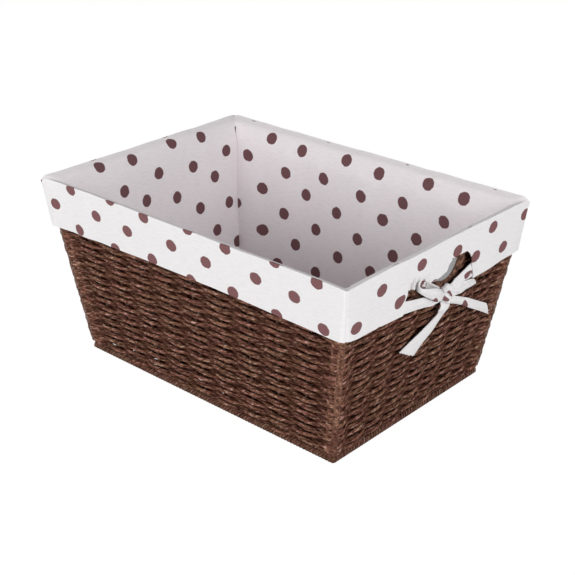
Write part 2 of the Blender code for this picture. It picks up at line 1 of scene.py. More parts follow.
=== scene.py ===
"""The finished look of a lined rope basket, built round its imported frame.

Every size is in metres, but tables of places said to be in millimetres. The basket stands on
z = 0 with its long sides facing -Y and +Y.
"""

import json
import math

import bpy
import numpy as np
from bpy.props import FloatProperty, FloatVectorProperty, IntProperty, PointerProperty
from mathutils import Matrix, Vector

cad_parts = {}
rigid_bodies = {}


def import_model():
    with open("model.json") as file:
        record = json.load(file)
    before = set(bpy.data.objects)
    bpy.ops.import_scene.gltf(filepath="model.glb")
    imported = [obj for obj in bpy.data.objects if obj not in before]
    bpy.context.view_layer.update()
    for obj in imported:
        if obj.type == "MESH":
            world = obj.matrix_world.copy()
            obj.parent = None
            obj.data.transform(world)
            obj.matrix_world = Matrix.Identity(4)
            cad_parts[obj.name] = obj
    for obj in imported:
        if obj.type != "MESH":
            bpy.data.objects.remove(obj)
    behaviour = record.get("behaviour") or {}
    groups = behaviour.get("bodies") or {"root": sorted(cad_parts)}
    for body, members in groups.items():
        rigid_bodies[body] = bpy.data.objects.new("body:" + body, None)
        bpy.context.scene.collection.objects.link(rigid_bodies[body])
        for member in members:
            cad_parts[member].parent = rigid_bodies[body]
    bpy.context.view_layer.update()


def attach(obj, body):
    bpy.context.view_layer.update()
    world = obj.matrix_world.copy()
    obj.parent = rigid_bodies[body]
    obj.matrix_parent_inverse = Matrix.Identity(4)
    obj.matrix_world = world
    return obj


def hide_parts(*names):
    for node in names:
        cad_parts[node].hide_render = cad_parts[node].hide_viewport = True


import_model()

bl_info = {
    "name": "Lined Rope Basket",
    "version": (1, 0, 0),
    "blender": (4, 5, 0),
    "location": "3D View > Sidebar > Basket",
    "description": "Builds a rope basket with a spotted cotton liner and tied bows",
    "category": "Add Mesh",
}

MM = 0.001
SIDES = ("front", "right", "back", "left")
ENDS = ("right", "left")

# The woven wall leans outwards: its half sizes at z = 0 and at the rim
HALF_LENGTH_AT_BASE = 0.1555
HALF_WIDTH_AT_BASE = 0.1045
RIM_HEIGHT = 0.1785
HALF_LENGTH_AT_RIM = 0.1835
HALF_WIDTH_AT_RIM = 0.126
WALL_BOTTOM = 0.0046
WALL_TOP = 0.1732
# Spaces between upright stakes on each side
LONG_SIDE_GAPS = 10
SHORT_SIDE_GAPS = 8

# The hand hole's border: two upright arms joined by a bottom run with round corners
HOLE_ARM_PLACE = 0.0365
HOLE_BOTTOM = 0.1397
HOLE_BEND = 0.019
HOLE_BEND_STEPS = 14
HOLE_BEND_PLACE = HOLE_ARM_PLACE - HOLE_BEND
HOLE_BEND_HEIGHT = HOLE_BOTTOM + HOLE_BEND

# Rope: steps along it in one full twist, how much less a row bulges inwards and on the short
# sides, and how far it stands out at a corner post, in front of it or behind it
TURN_STEPS = 54
INWARD_SHARE = 0.85
SHORT_SIDE_SHARE = 0.95
OVER_POST = 0.0042
BEHIND_POST = 0.0018
ROW_CORNER = 0.0015
ROW_BUNDLES = 5

# Floor mat: half sizes, rows and the rope's radius
MAT_HALF_LENGTH = 0.1512
MAT_HALF_WIDTH = 0.0995
MAT_ROWS = 50
MAT_HEIGHT = 0.0068
MAT_ROPE_RADIUS = 0.0023

# Wound borders: how far each ring stands out from the wall, its corner radius, height and step,
# then the rope's radius, how far it is pressed flat, and where its streaks start
BORDER_ROPE_RADIUS = 0.0031
BASE_RINGS = (((0.0030, 0.0008, 0.0031, 0.00062), BORDER_ROPE_RADIUS, 1.0, 0.0),
              ((-0.0008, 0.0008, 0.0062, 0.0009), 0.0033, 0.8, 5.0))
RIM_RINGS = (((0.0021, 0.004, RIM_HEIGHT - 0.0022, 0.0012), 0.0026, 1.0, 3.0),)

# Corner posts and the cord wound round them; the light post is darker below its foot height
POST_REACH = 0.0029
POST_BOTTOM = 0.0086
POST_TOP = 0.1722
POST_POINTS = 30
POST_CORD = 0.00115
POST_FOOT = 0.035
POST_WINDING = {"radius": 0.0031, "pitch": POST_CORD, "depth": 0.00022, "ring": 20,
                "step": 0.00033, "slant": 1.0, "lump": 0.0005}
HANDLE_WINDING = {"radius": 0.0051, "pitch": 0.0046, "depth": 0.0005, "ring": 24,
                  "step": 0.0005, "slant": 2.0, "lump": 0.0}

# Liner: rows of each panel up the inner wall, over the rim and down the cuff
INNER_ROWS, ROLL_ROWS, CUFF_ROWS = 56, 13, 46
LINER_FLOOR = 0.0154
LINER_INSET = 0.0059
LINER_CORNER = 0.0014
PANEL_FOOT = LINER_FLOOR - 0.0006
CLOTH_SLACK = 1.012
# The half turn over the rim, for the flat length
ROLL_RADIUS = 0.0059
# From the inner wall over the rim to the crease: out past the rim's middle, and up, in mm
RIM_PROFILE = ((-7.2, -9.5), (-6.2, -5.0), (-5.0, -1.4), (-3.4, 1.6), (-0.7, 3.9), (2.0, 4.8),
               (4.4, 5.7), (6.4, 6.8))
CREASE_REACH = 0.0064
CREASE_HEIGHT = RIM_HEIGHT + 0.0068
CREASE_CORNER = 0.0030
SHARP_CREASE = math.radians(38.0)
# Place on the print where the inner wall ends, and where on the roll the cuff's print begins
CLOTH_AT_FOOT = 0.0169
FOLD_PRINT_SHARE = {"front": 0.70, "right": 0.70, "back": 0.95, "left": 0.95}
# How far the cuff's corners stand out and dip at the front left, front right, back right and
# back left
CORNER_PUSH = (0.0025, 0.0010, 0.0009, 0.0010)
CORNER_DIP = (0.0036, 0.0004, 0.0036, 0.0012)
HEM_HEIGHT = 0.1364
HEM_HALF_LENGTH = 0.1862
HEM_HALF_WIDTH = 0.1282
HEM_CORNER = 0.007
END_HEM_SAG = 0.0045
LONG_HEM_SAG = 0.0015
# The end cuff's notch for the hand hole, from its front foot to its back foot
NOTCH_OUTLINE = MM * np.array((
    (-52.6, 132.4), (-51.6, 144.8), (-46.8, 154.2), (-40.0, 152.4), (-27.0, 148.0), (-16.0, 151.0),
    (-2.0, 151.2), (6.6, 153.8), (9.0, 160.0), (13.6, 163.8), (21.0, 164.6), (34.0, 164.3),
    (39.0, 160.5), (43.3, 154.0), (45.4, 145.0), (49.6, 134.6)))
FLOOR_SHEET_POINTS = (121, 81)

# The printed cloth repeats in a tile. Spot places are from the tile's top left corner. They were
# read with the rim taken as 370 mm long, which is 380 mm here.
PHOTO_SCALE = 380.0 / 370.0
TILE = (0.100 * PHOTO_SCALE, 0.102 * PHOTO_SCALE)
TILE_SPOTS_MM = (
    (58.5, 9.0), (0.7, 12.5), (31.0, 34.5), (80.5, 40.0),
    (8.5, 57.5), (51.0, 65.5), (81.0, 85.0), (25.5, 90.5),
)
SPOT_EDGE_WOBBLE = 0.0016
SPOT_EDGE_BLUR = 0.0002
# Painted shade on the unprinted wrong side of the cloth, for the turned edge that lies in the
# cuff's shadow
WRONG_SIDE_PAINTED_SHADE = 0.40

# Bows: each strip's thickness and its points across and along
BAND_THICKNESS = 0.0011
BAND_ACROSS, BAND_ALONG = 21, 120


def half_length(height):
    return HALF_LENGTH_AT_BASE + (HALF_LENGTH_AT_RIM - HALF_LENGTH_AT_BASE) * height / RIM_HEIGHT


def half_width(height):
    return HALF_WIDTH_AT_BASE + (HALF_WIDTH_AT_RIM - HALF_WIDTH_AT_BASE) * height / RIM_HEIGHT


def by_side(side, length, width):
    """Of the basket's length and width, the one across a side, then the one out to it."""
    return (width, length) if side in ENDS else (length, width)


def smooth_step(low, high, value):
    share = np.clip((value - low) / (high - low), 0.0, 1.0)
    return share * share * (3.0 - 2.0 * share)


def bell(distance, reach):
    return np.exp(-((distance / reach) ** 2))


# Sizes and colours that a user would change


class BasketRope(bpy.types.PropertyGroup):
    rows: IntProperty(
        name="Rows", description="Rows of rope up the wall", default=44, min=8, max=80)
    diameter: FloatProperty(
        name="Rope diameter", description="Across both strands of the rope", default=0.0049,
        unit="LENGTH", precision=4)
    lay: FloatProperty(
        name="Lay", description="Length of rope for one full twist", default=0.075,
        unit="LENGTH", precision=4)
    bulge: FloatProperty(
        name="Bulge", description="How far a row stands out where it passes a stake",
        default=0.0028, unit="LENGTH", precision=4)
    unevenness: FloatProperty(
        name="Unevenness", description="How far rows wander up and down", default=0.00055,
        unit="LENGTH", precision=5)
    colour: FloatVectorProperty(
        name="Rope colour", description="Main colour of the paper rope", subtype="COLOR",
        default=(0.158, 0.072, 0.047), min=0.0, max=1.0)
    dark_colour: FloatVectorProperty(
        name="Dark streaks", description="Colour of the darker streaks", subtype="COLOR",
        default=(0.040, 0.013, 0.006), min=0.0, max=1.0)
    # The light streaks are lighter fibres and also painted glints on the paper's shiny facets
    light_colour: FloatVectorProperty(
        name="Light streaks", description="Colour of the worn, lighter streaks", subtype="COLOR",
        default=(0.50, 0.355, 0.305), min=0.0, max=1.0)


class BasketLiner(bpy.types.PropertyGroup):
    thickness: FloatProperty(
        name="Cloth thickness", description="Thickness of the lining cloth", default=0.0012,
        unit="LENGTH", precision=4)
    spot_diameter: FloatProperty(
        name="Spot diameter", description="Across one printed spot", default=0.0131,
        unit="LENGTH", precision=4)
    cloth_colour: FloatVectorProperty(
        name="Cloth colour", description="Ground colour of the cotton", subtype="COLOR",
        default=(0.83, 0.812, 0.818), min=0.0, max=1.0)
    # Painted shade tint: the liner's inner side is given the pinkish colour of the shade inside the
    # basket
    inner_shade_tint: FloatVectorProperty(
        name="Inner tint", description="How the cloth's warmth shows inside the basket",
        subtype="COLOR", default=(1.0, 0.962, 0.976), min=0.0, max=1.0)
    spot_colour: FloatVectorProperty(
        name="Spot colour", description="Spots on the cloth's right side", subtype="COLOR",
        default=(0.150, 0.071, 0.077), min=0.0, max=1.0)
    cuff_spot_colour: FloatVectorProperty(
        name="Cuff spot colour", description="Spots on the folded cuff, which look paler",
        subtype="COLOR", default=(0.205, 0.094, 0.098), min=0.0, max=1.0)


class BasketStage(bpy.types.PropertyGroup):
    azimuth: FloatProperty(
        name="Azimuth", description="Camera's turn round the basket", subtype="ANGLE",
        default=math.radians(42.05))
    elevation: FloatProperty(
        name="Elevation", description="Camera's angle above the floor", subtype="ANGLE",
        default=math.radians(25.57))
    distance: FloatProperty(
        name="Distance", description="Camera's distance", default=1.2376, unit="LENGTH")
    focal_length: FloatProperty(
        name="Focal length", description="Camera lens", default=76.68)
    key_power: FloatProperty(
        name="Key light", description="Power of the large lamp at the front left", default=20.7,
        unit="POWER")
    fill_power: FloatProperty(
        name="Fill light", description="Power of the large lamp at the right", default=18.6,
        unit="POWER")
    sky_strength: FloatProperty(
        name="Sky", description="Strength of the light from all round", default=0.42)
    backdrop_share: FloatProperty(
        name="Backdrop", description="How far the floor is lifted to plain white for the camera",
        default=0.95, min=0.0, max=1.0)


# Mesh building


def make_piece(name, points, quads, caps=(), corner_uv=None, shade_smooth=True):
    """A mesh object at the origin from points, four-sided faces and end caps."""
    mesh = bpy.data.meshes.new(name)
    points = np.asarray(points, dtype=np.float32)
    quads = np.asarray(quads, dtype=np.int32)
    loops = [quads.ravel()] + [np.asarray(cap, dtype=np.int32) for cap in caps]
    sizes = np.concatenate([np.full(len(quads), 4, np.int32),
                            np.array([len(cap) for cap in caps], np.int32)])
    corners = np.concatenate(loops)
    starts = np.concatenate([[0], np.cumsum(sizes)[:-1]]).astype(np.int32)
    mesh.vertices.add(len(points))
    mesh.vertices.foreach_set("co", points.ravel())
    mesh.loops.add(len(corners))
    mesh.loops.foreach_set("vertex_index", corners)
    mesh.polygons.add(len(sizes))
    mesh.polygons.foreach_set("loop_start", starts)
    mesh.polygons.foreach_set("loop_total", sizes)
    mesh.polygons.foreach_set("use_smooth", np.full(len(sizes), shade_smooth))
    mesh.update(calc_edges=True)
    if corner_uv is not None:
        layer = mesh.uv_layers.new(name="cloth")
        flat = np.zeros((len(corners), 2), np.float32)
        flat[: len(corner_uv)] = corner_uv
        layer.data.foreach_set("uv", flat.ravel())
    mesh.validate()
    piece = bpy.data.objects.new(name, mesh)
    bpy.context.scene.collection.objects.link(piece)
    return piece


def dress(piece, material, slot, *nodes):
    """Gives a piece its material and its body, and hides the CAD nodes that it stands for."""
    piece.data.materials.clear()
    piece.data.materials.append(material)
    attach(piece, "root")
    if nodes:
        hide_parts(*nodes)


def thicken(piece, thickness):
    """Gives a sheet its thickness, half to each side."""
    modifier = piece.modifiers.new("thickness", "SOLIDIFY")
    modifier.thickness = thickness
    modifier.offset = 0.0
    bpy.ops.object.select_all(action="DESELECT")
    bpy.context.view_layer.objects.active = piece
    piece.select_set(True)
    bpy.ops.object.modifier_apply(modifier=modifier.name)
    piece.select_set(False)


def grid_faces(rows, columns, closed_rows=False, closed_columns=False):
    """Row, column and four corners of each face on a grid of points, joined up where closed."""
    row, column = np.meshgrid(np.arange(rows if closed_rows else rows - 1),
                              np.arange(columns if closed_columns else columns - 1),
                              indexing="ij")
    above, beside = (row + 1) % rows, (column + 1) % columns
    faces = np.stack([row * columns + column, row * columns + beside,
                      above * columns + beside, above * columns + column], axis=-1)
    return row, column, faces.reshape(-1, 4)


def other_way_round(faces):
    """The same faces seen from their other side, each from the same first corner."""
    return faces[:, (0, 3, 2, 1)]


def corner_places(place_at, row, column):
    """Flat places at the four corners of each face of a grid."""
    corners = ((0, 0), (0, 1), (1, 1), (1, 0))
    return np.stack([place_at(row + up, column + right) for up, right in corners],
                    axis=2).reshape(-1, 2)


def end_caps(count, ring):
    return [np.arange(ring)[::-1], (count - 1) * ring + np.arange(ring)]


def unit(vectors):
    return vectors / np.linalg.norm(vectors, axis=1, keepdims=True)


def directions_across(centres, outward, closed=False):
    """Two directions square to a path at each of its points, the first one nearly outward."""
    if closed:
        along = np.roll(centres, -1, axis=0) - np.roll(centres, 1, axis=0)
    else:
        along = np.gradient(centres, axis=0)
    along = unit(along)
    side = unit(outward - along * np.sum(outward * along, axis=1, keepdims=True))
    return side, np.cross(along, side)


def sweep(centres, side, rise, across, upward):
    """A grid of points: at each centre, so far across along side and so far up along rise."""
    return centres[:, None, :] + across[..., None] * side[:, None, :] \
        + upward[..., None] * rise[:, None, :]


def ply_profile(plies, points_per_ply, groove):
    """Angles and radius shares round a rope, with a groove between each two strands."""
    across = np.arange(points_per_ply) * 2.0 / points_per_ply - 1.0
    one_ply = groove + (1.0 - groove) * np.sqrt(np.clip(1.0 - across**2, 0.0, 1.0)) ** 0.9
    count = plies * points_per_ply
    return np.arange(count) * 2.0 * math.pi / count, np.tile(one_ply, plies)


def rope_shell(centres, outward, twist, radius, profile, thick, tall, closed, fill=0.0):
    """Points, faces, caps and corner places of a twisted rope along a centre line.

    Thick and tall scale the rope across and along the wall at each point, as where it is pressed.
    Fill makes the grooves between the strands shallower, from 0 to 1.
    """
    count = len(centres)
    side, rise = directions_across(centres, outward, closed)
    angles, shares = profile
    ring = len(angles)
    turned = angles[None, :] - twist[:, None]
    fill = np.broadcast_to(fill, (count,))[:, None]
    reach = radius * (shares[None, :] + (0.95 - shares[None, :]) * fill)
    points = sweep(centres, side, rise, np.cos(turned) * reach * thick[:, None],
                   np.sin(turned) * reach * tall[:, None])
    first, place, quads = grid_faces(count, ring, closed, True)
    lengths = np.linalg.norm(np.roll(centres, -1, axis=0) - centres, axis=1)
    travelled = np.concatenate([[0.0], np.cumsum(lengths)])
    girth = 2.0 * math.pi * radius / ring
    corner_uv = corner_places(
        lambda row, column: np.stack([travelled[row], column * girth], axis=-1), first, place)
    return points.reshape(-1, 3), quads, [] if closed else end_caps(count, ring), corner_uv


def wound_tube(centres, outward, radius, pitch, depth, ring, step, slant, lump):
    """A rod closely wound with thin cord: shallow ridges that climb slowly round it."""
    length = path_length(centres)
    count = max(4, round(length / step))
    distances = np.linspace(0.0, length, count)
    middle, facing = spaced_along(centres, (centres, outward), distances)
    side, rise = directions_across(middle, facing)
    angles = np.arange(ring) * 2.0 * math.pi / ring
    phase = distances[:, None] / pitch + slant * angles[None, :] / (2.0 * math.pi)
    reach = radius - depth * (1.0 - np.abs(np.sin(math.pi * phase)) ** 0.7)
    reach = reach + lump * soft_noise(distances, 0.0, 0.0038, 1.0, 3)[:, None]
    fade = smooth_step(0.0, 0.0012, np.minimum(distances, length - distances))
    reach *= (0.75 + 0.25 * np.sqrt(fade))[:, None]
    points = sweep(middle, side, rise, np.cos(angles) * reach, np.sin(angles) * reach)
    first, place, quads = grid_faces(count, ring, False, True)
    girth = 2.0 * math.pi * radius / ring

    def corner(row, column):
        # The cord's own length runs round the rod, so streaks follow the winding
        return np.stack([phase[row, column % ring] * pitch
                         + np.where(column >= ring, slant * pitch, 0.0), column * girth], axis=-1)

    return points.reshape(-1, 3), quads, end_caps(count, ring), corner_places(corner, first, place)


class Bundle:
    """Gathers several shells into one mesh."""

    def __init__(self):
        self.points, self.quads, self.caps, self.corner_uv = [], [], [], []
        self.count = 0

    def add(self, shell, shift=(0.0, 0.0)):
        points, quads, caps, corner_uv = shell
        self.points.append(points)
        self.quads.append(quads + self.count)
        self.caps += [cap + self.count for cap in caps]
        self.corner_uv.append(corner_uv + np.array(shift))
        self.count += len(points)

    def piece(self, name):
        return make_piece(name, np.concatenate(self.points), np.concatenate(self.quads),
                          self.caps, np.concatenate(self.corner_uv))


# Paths


def round_the_wall(height, corner_radius, line_points=400, bend_points=12):
    """Once round the wall from the middle of the right side, clockwise seen from above.

    Gives places, outward directions, how far along its side each place is from -1 to 1, the
    distance to the nearest corner, and the number of gaps between stakes on its side.
    """
    along = half_length(height)
    deep = half_width(height)
    reach_x = along - corner_radius
    reach_y = deep - corner_radius
    places, facings, shares, corner_distances, gaps = [], [], [], [], []

    def straight(start, end, facing, half, gap_count):
        line = np.linspace(0.0, 1.0, line_points)[:, None]
        spots = np.array(start) * (1.0 - line) + np.array(end) * line
        share = spots[:, 1 if facing[0] else 0] / half
        places.append(spots)
        facings.append(np.tile(facing, (line_points, 1)))
        shares.append(share)
        corner_distances.append((1.0 - np.abs(share)) * half)
        gaps.append(np.full(line_points, gap_count))

    def bend(centre, start_angle):
        angle = math.radians(start_angle) - np.linspace(0.0, math.pi / 2, bend_points)
        facing = np.stack([np.cos(angle), np.sin(angle)], axis=1)
        places.append(np.array(centre) + corner_radius * facing)
        facings.append(facing)
        shares.append(np.ones(bend_points))
        corner_distances.append(np.zeros(bend_points))
        gaps.append(np.full(bend_points, LONG_SIDE_GAPS))

    straight((along, 0.0), (along, -reach_y), (1.0, 0.0), deep, SHORT_SIDE_GAPS)
    bend((reach_x, -reach_y), 0.0)
    straight((reach_x, -deep), (-reach_x, -deep), (0.0, -1.0), along, LONG_SIDE_GAPS)
    bend((-reach_x, -reach_y), -90.0)
    straight((-along, -reach_y), (-along, reach_y), (-1.0, 0.0), deep, SHORT_SIDE_GAPS)
    bend((-reach_x, reach_y), 180.0)
    straight((-reach_x, deep), (reach_x, deep), (0.0, 1.0), along, LONG_SIDE_GAPS)
    bend((reach_x, reach_y), 90.0)
    straight((along, reach_y), (along, 0.0), (1.0, 0.0), deep, SHORT_SIDE_GAPS)
    return tuple(np.concatenate(part) for part in (places, facings, shares, corner_distances, gaps))


def distances_along(places):
    return np.concatenate([[0.0], np.cumsum(np.linalg.norm(np.diff(places, axis=0), axis=1))])


def path_length(places):
    return float(np.linalg.norm(np.diff(places, axis=0), axis=1).sum())


def spaced_along(places, columns, distances):
    """Values of the columns at distances travelled along the places."""
    travelled = distances_along(places)
    results = []
    for column in columns:
        column = np.asarray(column, dtype=float)
        if column.ndim == 1:
            results.append(np.interp(distances, travelled, column))
        else:
            parts = [np.interp(distances, travelled, column[:, k]) for k in range(column.shape[1])]
            results.append(np.stack(parts, axis=1))
    return results


def smooth_curve(points, count):
    """A smooth line through the points (a Catmull-Rom curve), each span equally divided."""
    points = np.asarray(points, dtype=float)
    knots = np.vstack([2.0 * points[0] - points[1], points, 2.0 * points[-1] - points[-2]])
    place = np.linspace(0.0, len(points) - 1.0, count)
    span = np.minimum(place.astype(int), len(points) - 2)
    share = (place - span)[:, None]
    p0, p1, p2, p3 = (knots[span + step] for step in range(4))
    return 0.5 * (2.0 * p1 + (p2 - p0) * share
                  + (2.0 * p0 - 5.0 * p1 + 4.0 * p2 - p3) * share**2
                  + (3.0 * p1 - p0 - 3.0 * p2 + p3) * share**3)


def soft_noise(x, y, cell_x, cell_y, seed):
    """Smooth random values from -1 to 1 that change over about one cell."""
    size_x, size_y = 61, 67
    lattice = np.random.default_rng(seed).uniform(-1.0, 1.0, (size_x, size_y))
    across, up = np.broadcast_arrays(np.asarray(x) / cell_x, np.asarray(y) / cell_y)
    column, row = np.floor(across).astype(int), np.floor(up).astype(int)
    fx, fy = across - column, up - row
    fx, fy = fx * fx * (3.0 - 2.0 * fx), fy * fy * (3.0 - 2.0 * fy)

    def at(right, above):
        return lattice[(column + right) % size_x, (row + above) % size_y]

    low = at(0, 0) * (1.0 - fx) + at(1, 0) * fx
    high = at(0, 1) * (1.0 - fx) + at(1, 1) * fx
    return low * (1.0 - fy) + high * fy


# Materials


def add_node(tree, kind, inputs=None, **settings):
    """A new node; each of its inputs takes a value or another node's output."""
    node = tree.nodes.new("ShaderNode" + kind)
    for key, value in settings.items():
        setattr(node, key, value)
    for key, value in (inputs or {}).items():
        if isinstance(value, bpy.types.NodeSocket):
            tree.links.new(value, node.inputs[key])
        else:
            node.inputs[key].default_value = value
    return node


def maths(tree, operation, *values):
    return add_node(tree, "Math", dict(enumerate(values)), operation=operation).outputs[0]


def ramp_between(tree, value, low, high):
    """0 where the value is low, 1 where it is high, and even steps between; low may be larger."""
    inputs = {"Value": value, "From Min": low, "From Max": high}
    return add_node(tree, "MapRange", inputs).outputs["Result"]


def start_material(name, roughness, specular=0.5):
    material = bpy.data.materials.new(name)
    material.use_nodes = True
    shader = material.node_tree.nodes["Principled BSDF"]
    shader.inputs["Roughness"].default_value = roughness
    shader.inputs["Specular IOR Level"].default_value = specular
    return material, material.node_tree, shader


def uv_source(tree):
    return add_node(tree, "UVMap", uv_map="cloth").outputs["UV"]


def object_places(tree):
    return add_node(tree, "TexCoord").outputs["Object"]


def scaled_noise(tree, vector, scale, detail=3.0, roughness=0.55):
    """Noise whose grain is stretched: scale gives the cells per metre on each axis."""
    stretched = add_node(tree, "VectorMath", {0: vector, 1: scale}, operation="MULTIPLY")
    return add_node(tree, "TexNoise", {
        "Scale": 1.0, "Detail": detail, "Roughness": roughness,
        "Vector": stretched.outputs[0]}).outputs["Fac"]


def colour_ramp(tree, factor, *stops):
    ramp = add_node(tree, "ValToRGB", {"Fac": factor})
    elements = ramp.color_ramp.elements
    while len(elements) < len(stops):
        elements.new(0.5)
    for element, (position, colour) in zip(elements, stops):
        element.position = position
        element.color = (*colour, 1.0)
    return ramp.outputs["Color"]


def mix_colour(tree, factor, first, second, blend="MIX"):
    """Two colours blended; each is three values or a node's output."""
    first, second = ((*part, 1.0) if isinstance(part, tuple) else part for part in (first, second))
    return add_node(tree, "Mix", {0: factor, 6: first, 7: second}, data_type="RGBA",
                    blend_type=blend).outputs[2]


def multiplied(tree, first, second):
    return mix_colour(tree, 1.0, first, second, "MULTIPLY")


def add_bump(tree, shader, height, distance, strength=1.0):
    bump = add_node(tree, "Bump", {"Distance": distance, "Strength": strength, "Height": height})
    tree.links.new(bump.outputs["Normal"], shader.inputs["Normal"])


def tinted(colour, share):
    return tuple(min(1.0, part * share) for part in colour)


def strand_crest(tree, place, strand_width):
    """0 in the groove between two strands, up to 0.5 on the crest of a strand."""
    round_the_rope = add_node(tree, "SeparateXYZ", {0: place}).outputs["Y"]
    return maths(tree, "PINGPONG", maths(tree, "DIVIDE", round_the_rope, strand_width), 0.5)


def weave_depth(tree):
    """How far a place stands out from the middle of the woven wall, in metres."""
    place = add_node(tree, "SeparateXYZ", {0: object_places(tree)}).outputs
    ends = []
    for axis, base, top in (("X", HALF_LENGTH_AT_BASE, HALF_LENGTH_AT_RIM),
                            ("Y", HALF_WIDTH_AT_BASE, HALF_WIDTH_AT_RIM)):
        size = maths(tree, "ABSOLUTE", place[axis])
        upright = maths(tree, "MULTIPLY_ADD", place["Z"], (base - top) / RIM_HEIGHT, size)
        ends.append(maths(tree, "SUBTRACT", upright, base))
    return maths(tree, "MAXIMUM", *ends)


def rope_material(name, rope, strand_width, tint=1.0, woven=False):
    """Twisted paper: painted shade in the grooves, streaks along the strands with painted glints,
    and on the woven wall painted shade and highlights by depth.
    """
    material, tree, shader = start_material(name, 0.62, 0.10)
    place = uv_source(tree)
    fine = scaled_noise(tree, place, (190.0, 520.0, 1.0), 4.0, 0.72)
    # Dark and light fibres in streaks; the lightest flecks are also painted glints
    streaks = colour_ramp(
        tree, fine, (0.38, tinted(rope.dark_colour, tint)), (0.48, tinted(rope.colour, tint)),
        (0.55, tinted(rope.colour, tint * 1.4)), (0.64, tinted(rope.light_colour, tint)))
    patches = colour_ramp(
        tree, scaled_noise(tree, place, (30.0, 24.0, 1.0)), (0.32, (0.72, 0.64, 0.58)),
        (0.45, (1.0, 0.90, 0.95)), (0.56, (0.95, 0.98, 0.88)), (0.68, (1.0, 1.0, 1.0)))
    # Painted shade in the grooves between the strands, full colour on their crests
    relief = colour_ramp(
        tree, strand_crest(tree, place, strand_width), (0.02, (0.45, 0.396, 0.378)),
        (0.16, (0.74, 0.71, 0.70)), (0.34, (0.94, 0.94, 0.94)), (0.48, (1.0, 1.0, 1.0)))
    shade = multiplied(tree, multiplied(tree, streaks, patches), relief)
    if woven:
        # Painted shade on rope that lies behind a stake, and a painted highlight on rope that
        # stands out
        shade = multiplied(tree, shade, colour_ramp(
            tree, ramp_between(tree, weave_depth(tree), -0.002, 0.005), (0.16, (0.40, 0.18, 0.10)),
            (0.45, (0.56, 0.44, 0.38)), (0.70, (1.0, 0.97, 0.95)), (0.92, (1.42, 1.42, 1.42))))
    tree.links.new(shade, shader.inputs["Base Color"])
    add_bump(tree, shader, fine, 0.0014)
    return material


def wrap_material(name, dark, middle, light, pitch, relief, foot=0.0):
    """Thin paper cord wound closely: turns lighter and darker, darker still near the foot."""
    material, tree, shader = start_material(name, 0.6, 0.25)
    place = uv_source(tree)
    turns = scaled_noise(tree, place, (0.42 / pitch, 260.0, 1.0), 4.0, 0.75)
    colour = colour_ramp(tree, turns, (0.37, dark), (0.50, middle), (0.64, light))
    if foot > 0.0:
        height = add_node(tree, "SeparateXYZ", {0: place}).outputs["X"]
        colour = mix_colour(tree, ramp_between(tree, height, foot, foot - 0.004), colour,
                            multiplied(tree, colour, (0.72, 0.60, 0.60)))
    tree.links.new(colour, shader.inputs["Base Color"])
    add_bump(tree, shader, turns, 0.0005, relief)
    return material


def steel_material():
    """Thin dark wire under the cord; its places come from the object itself."""
    material, tree, shader = start_material("wire steel", 0.42)
    grain = scaled_noise(tree, object_places(tree), (220.0, 220.0, 220.0), 2.0)
    colour = colour_ramp(tree, grain, (0.3, (0.16, 0.15, 0.145)), (0.7, (0.24, 0.23, 0.22)))
    tree.links.new(colour, shader.inputs["Base Color"])
    shader.inputs["Metallic"].default_value = 0.9
    return material


def stake_material(rope):
    """Dark paper cord of the stakes; its places come from the object itself."""
    material, tree, shader = start_material("stake cord", 0.7)
    grain = scaled_noise(tree, object_places(tree), (500.0, 500.0, 900.0))
    colour = colour_ramp(tree, grain, (0.3, tinted(rope.dark_colour, 0.8)),
                         (0.7, tinted(rope.colour, 0.8)))
    tree.links.new(colour, shader.inputs["Base Color"])
    add_bump(tree, shader, grain, 0.0004, 0.6)
    return material


def spot_mask(tree, place, diameter):
    """1 inside a printed spot, 0 outside, with a slightly uneven edge."""
    nearest = None
    for across, down in TILE_SPOTS_MM:
        x, y = across * MM * PHOTO_SCALE, down * MM * PHOTO_SCALE
        wrapped = add_node(tree, "VectorMath", {
            0: place, 1: (x + TILE[0] / 2, y + TILE[1] / 2, 1.0),
            2: (x - TILE[0] / 2, y - TILE[1] / 2, -1.0)}, operation="WRAP").outputs[0]
        apart = add_node(tree, "VectorMath", {0: wrapped, 1: (x, y, 0.0)},
                         operation="DISTANCE").outputs["Value"]
        nearest = maths(tree, "MINIMUM", nearest, apart) if nearest else apart
    wobble = add_node(tree, "TexNoise", {"Scale": 260.0, "Vector": place}).outputs["Fac"]
    uneven = maths(tree, "MULTIPLY_ADD", wobble, SPOT_EDGE_WOBBLE, nearest)
    edge = diameter / 2 + SPOT_EDGE_WOBBLE / 2
    return ramp_between(tree, uneven, edge + SPOT_EDGE_BLUR, edge - SPOT_EDGE_BLUR)


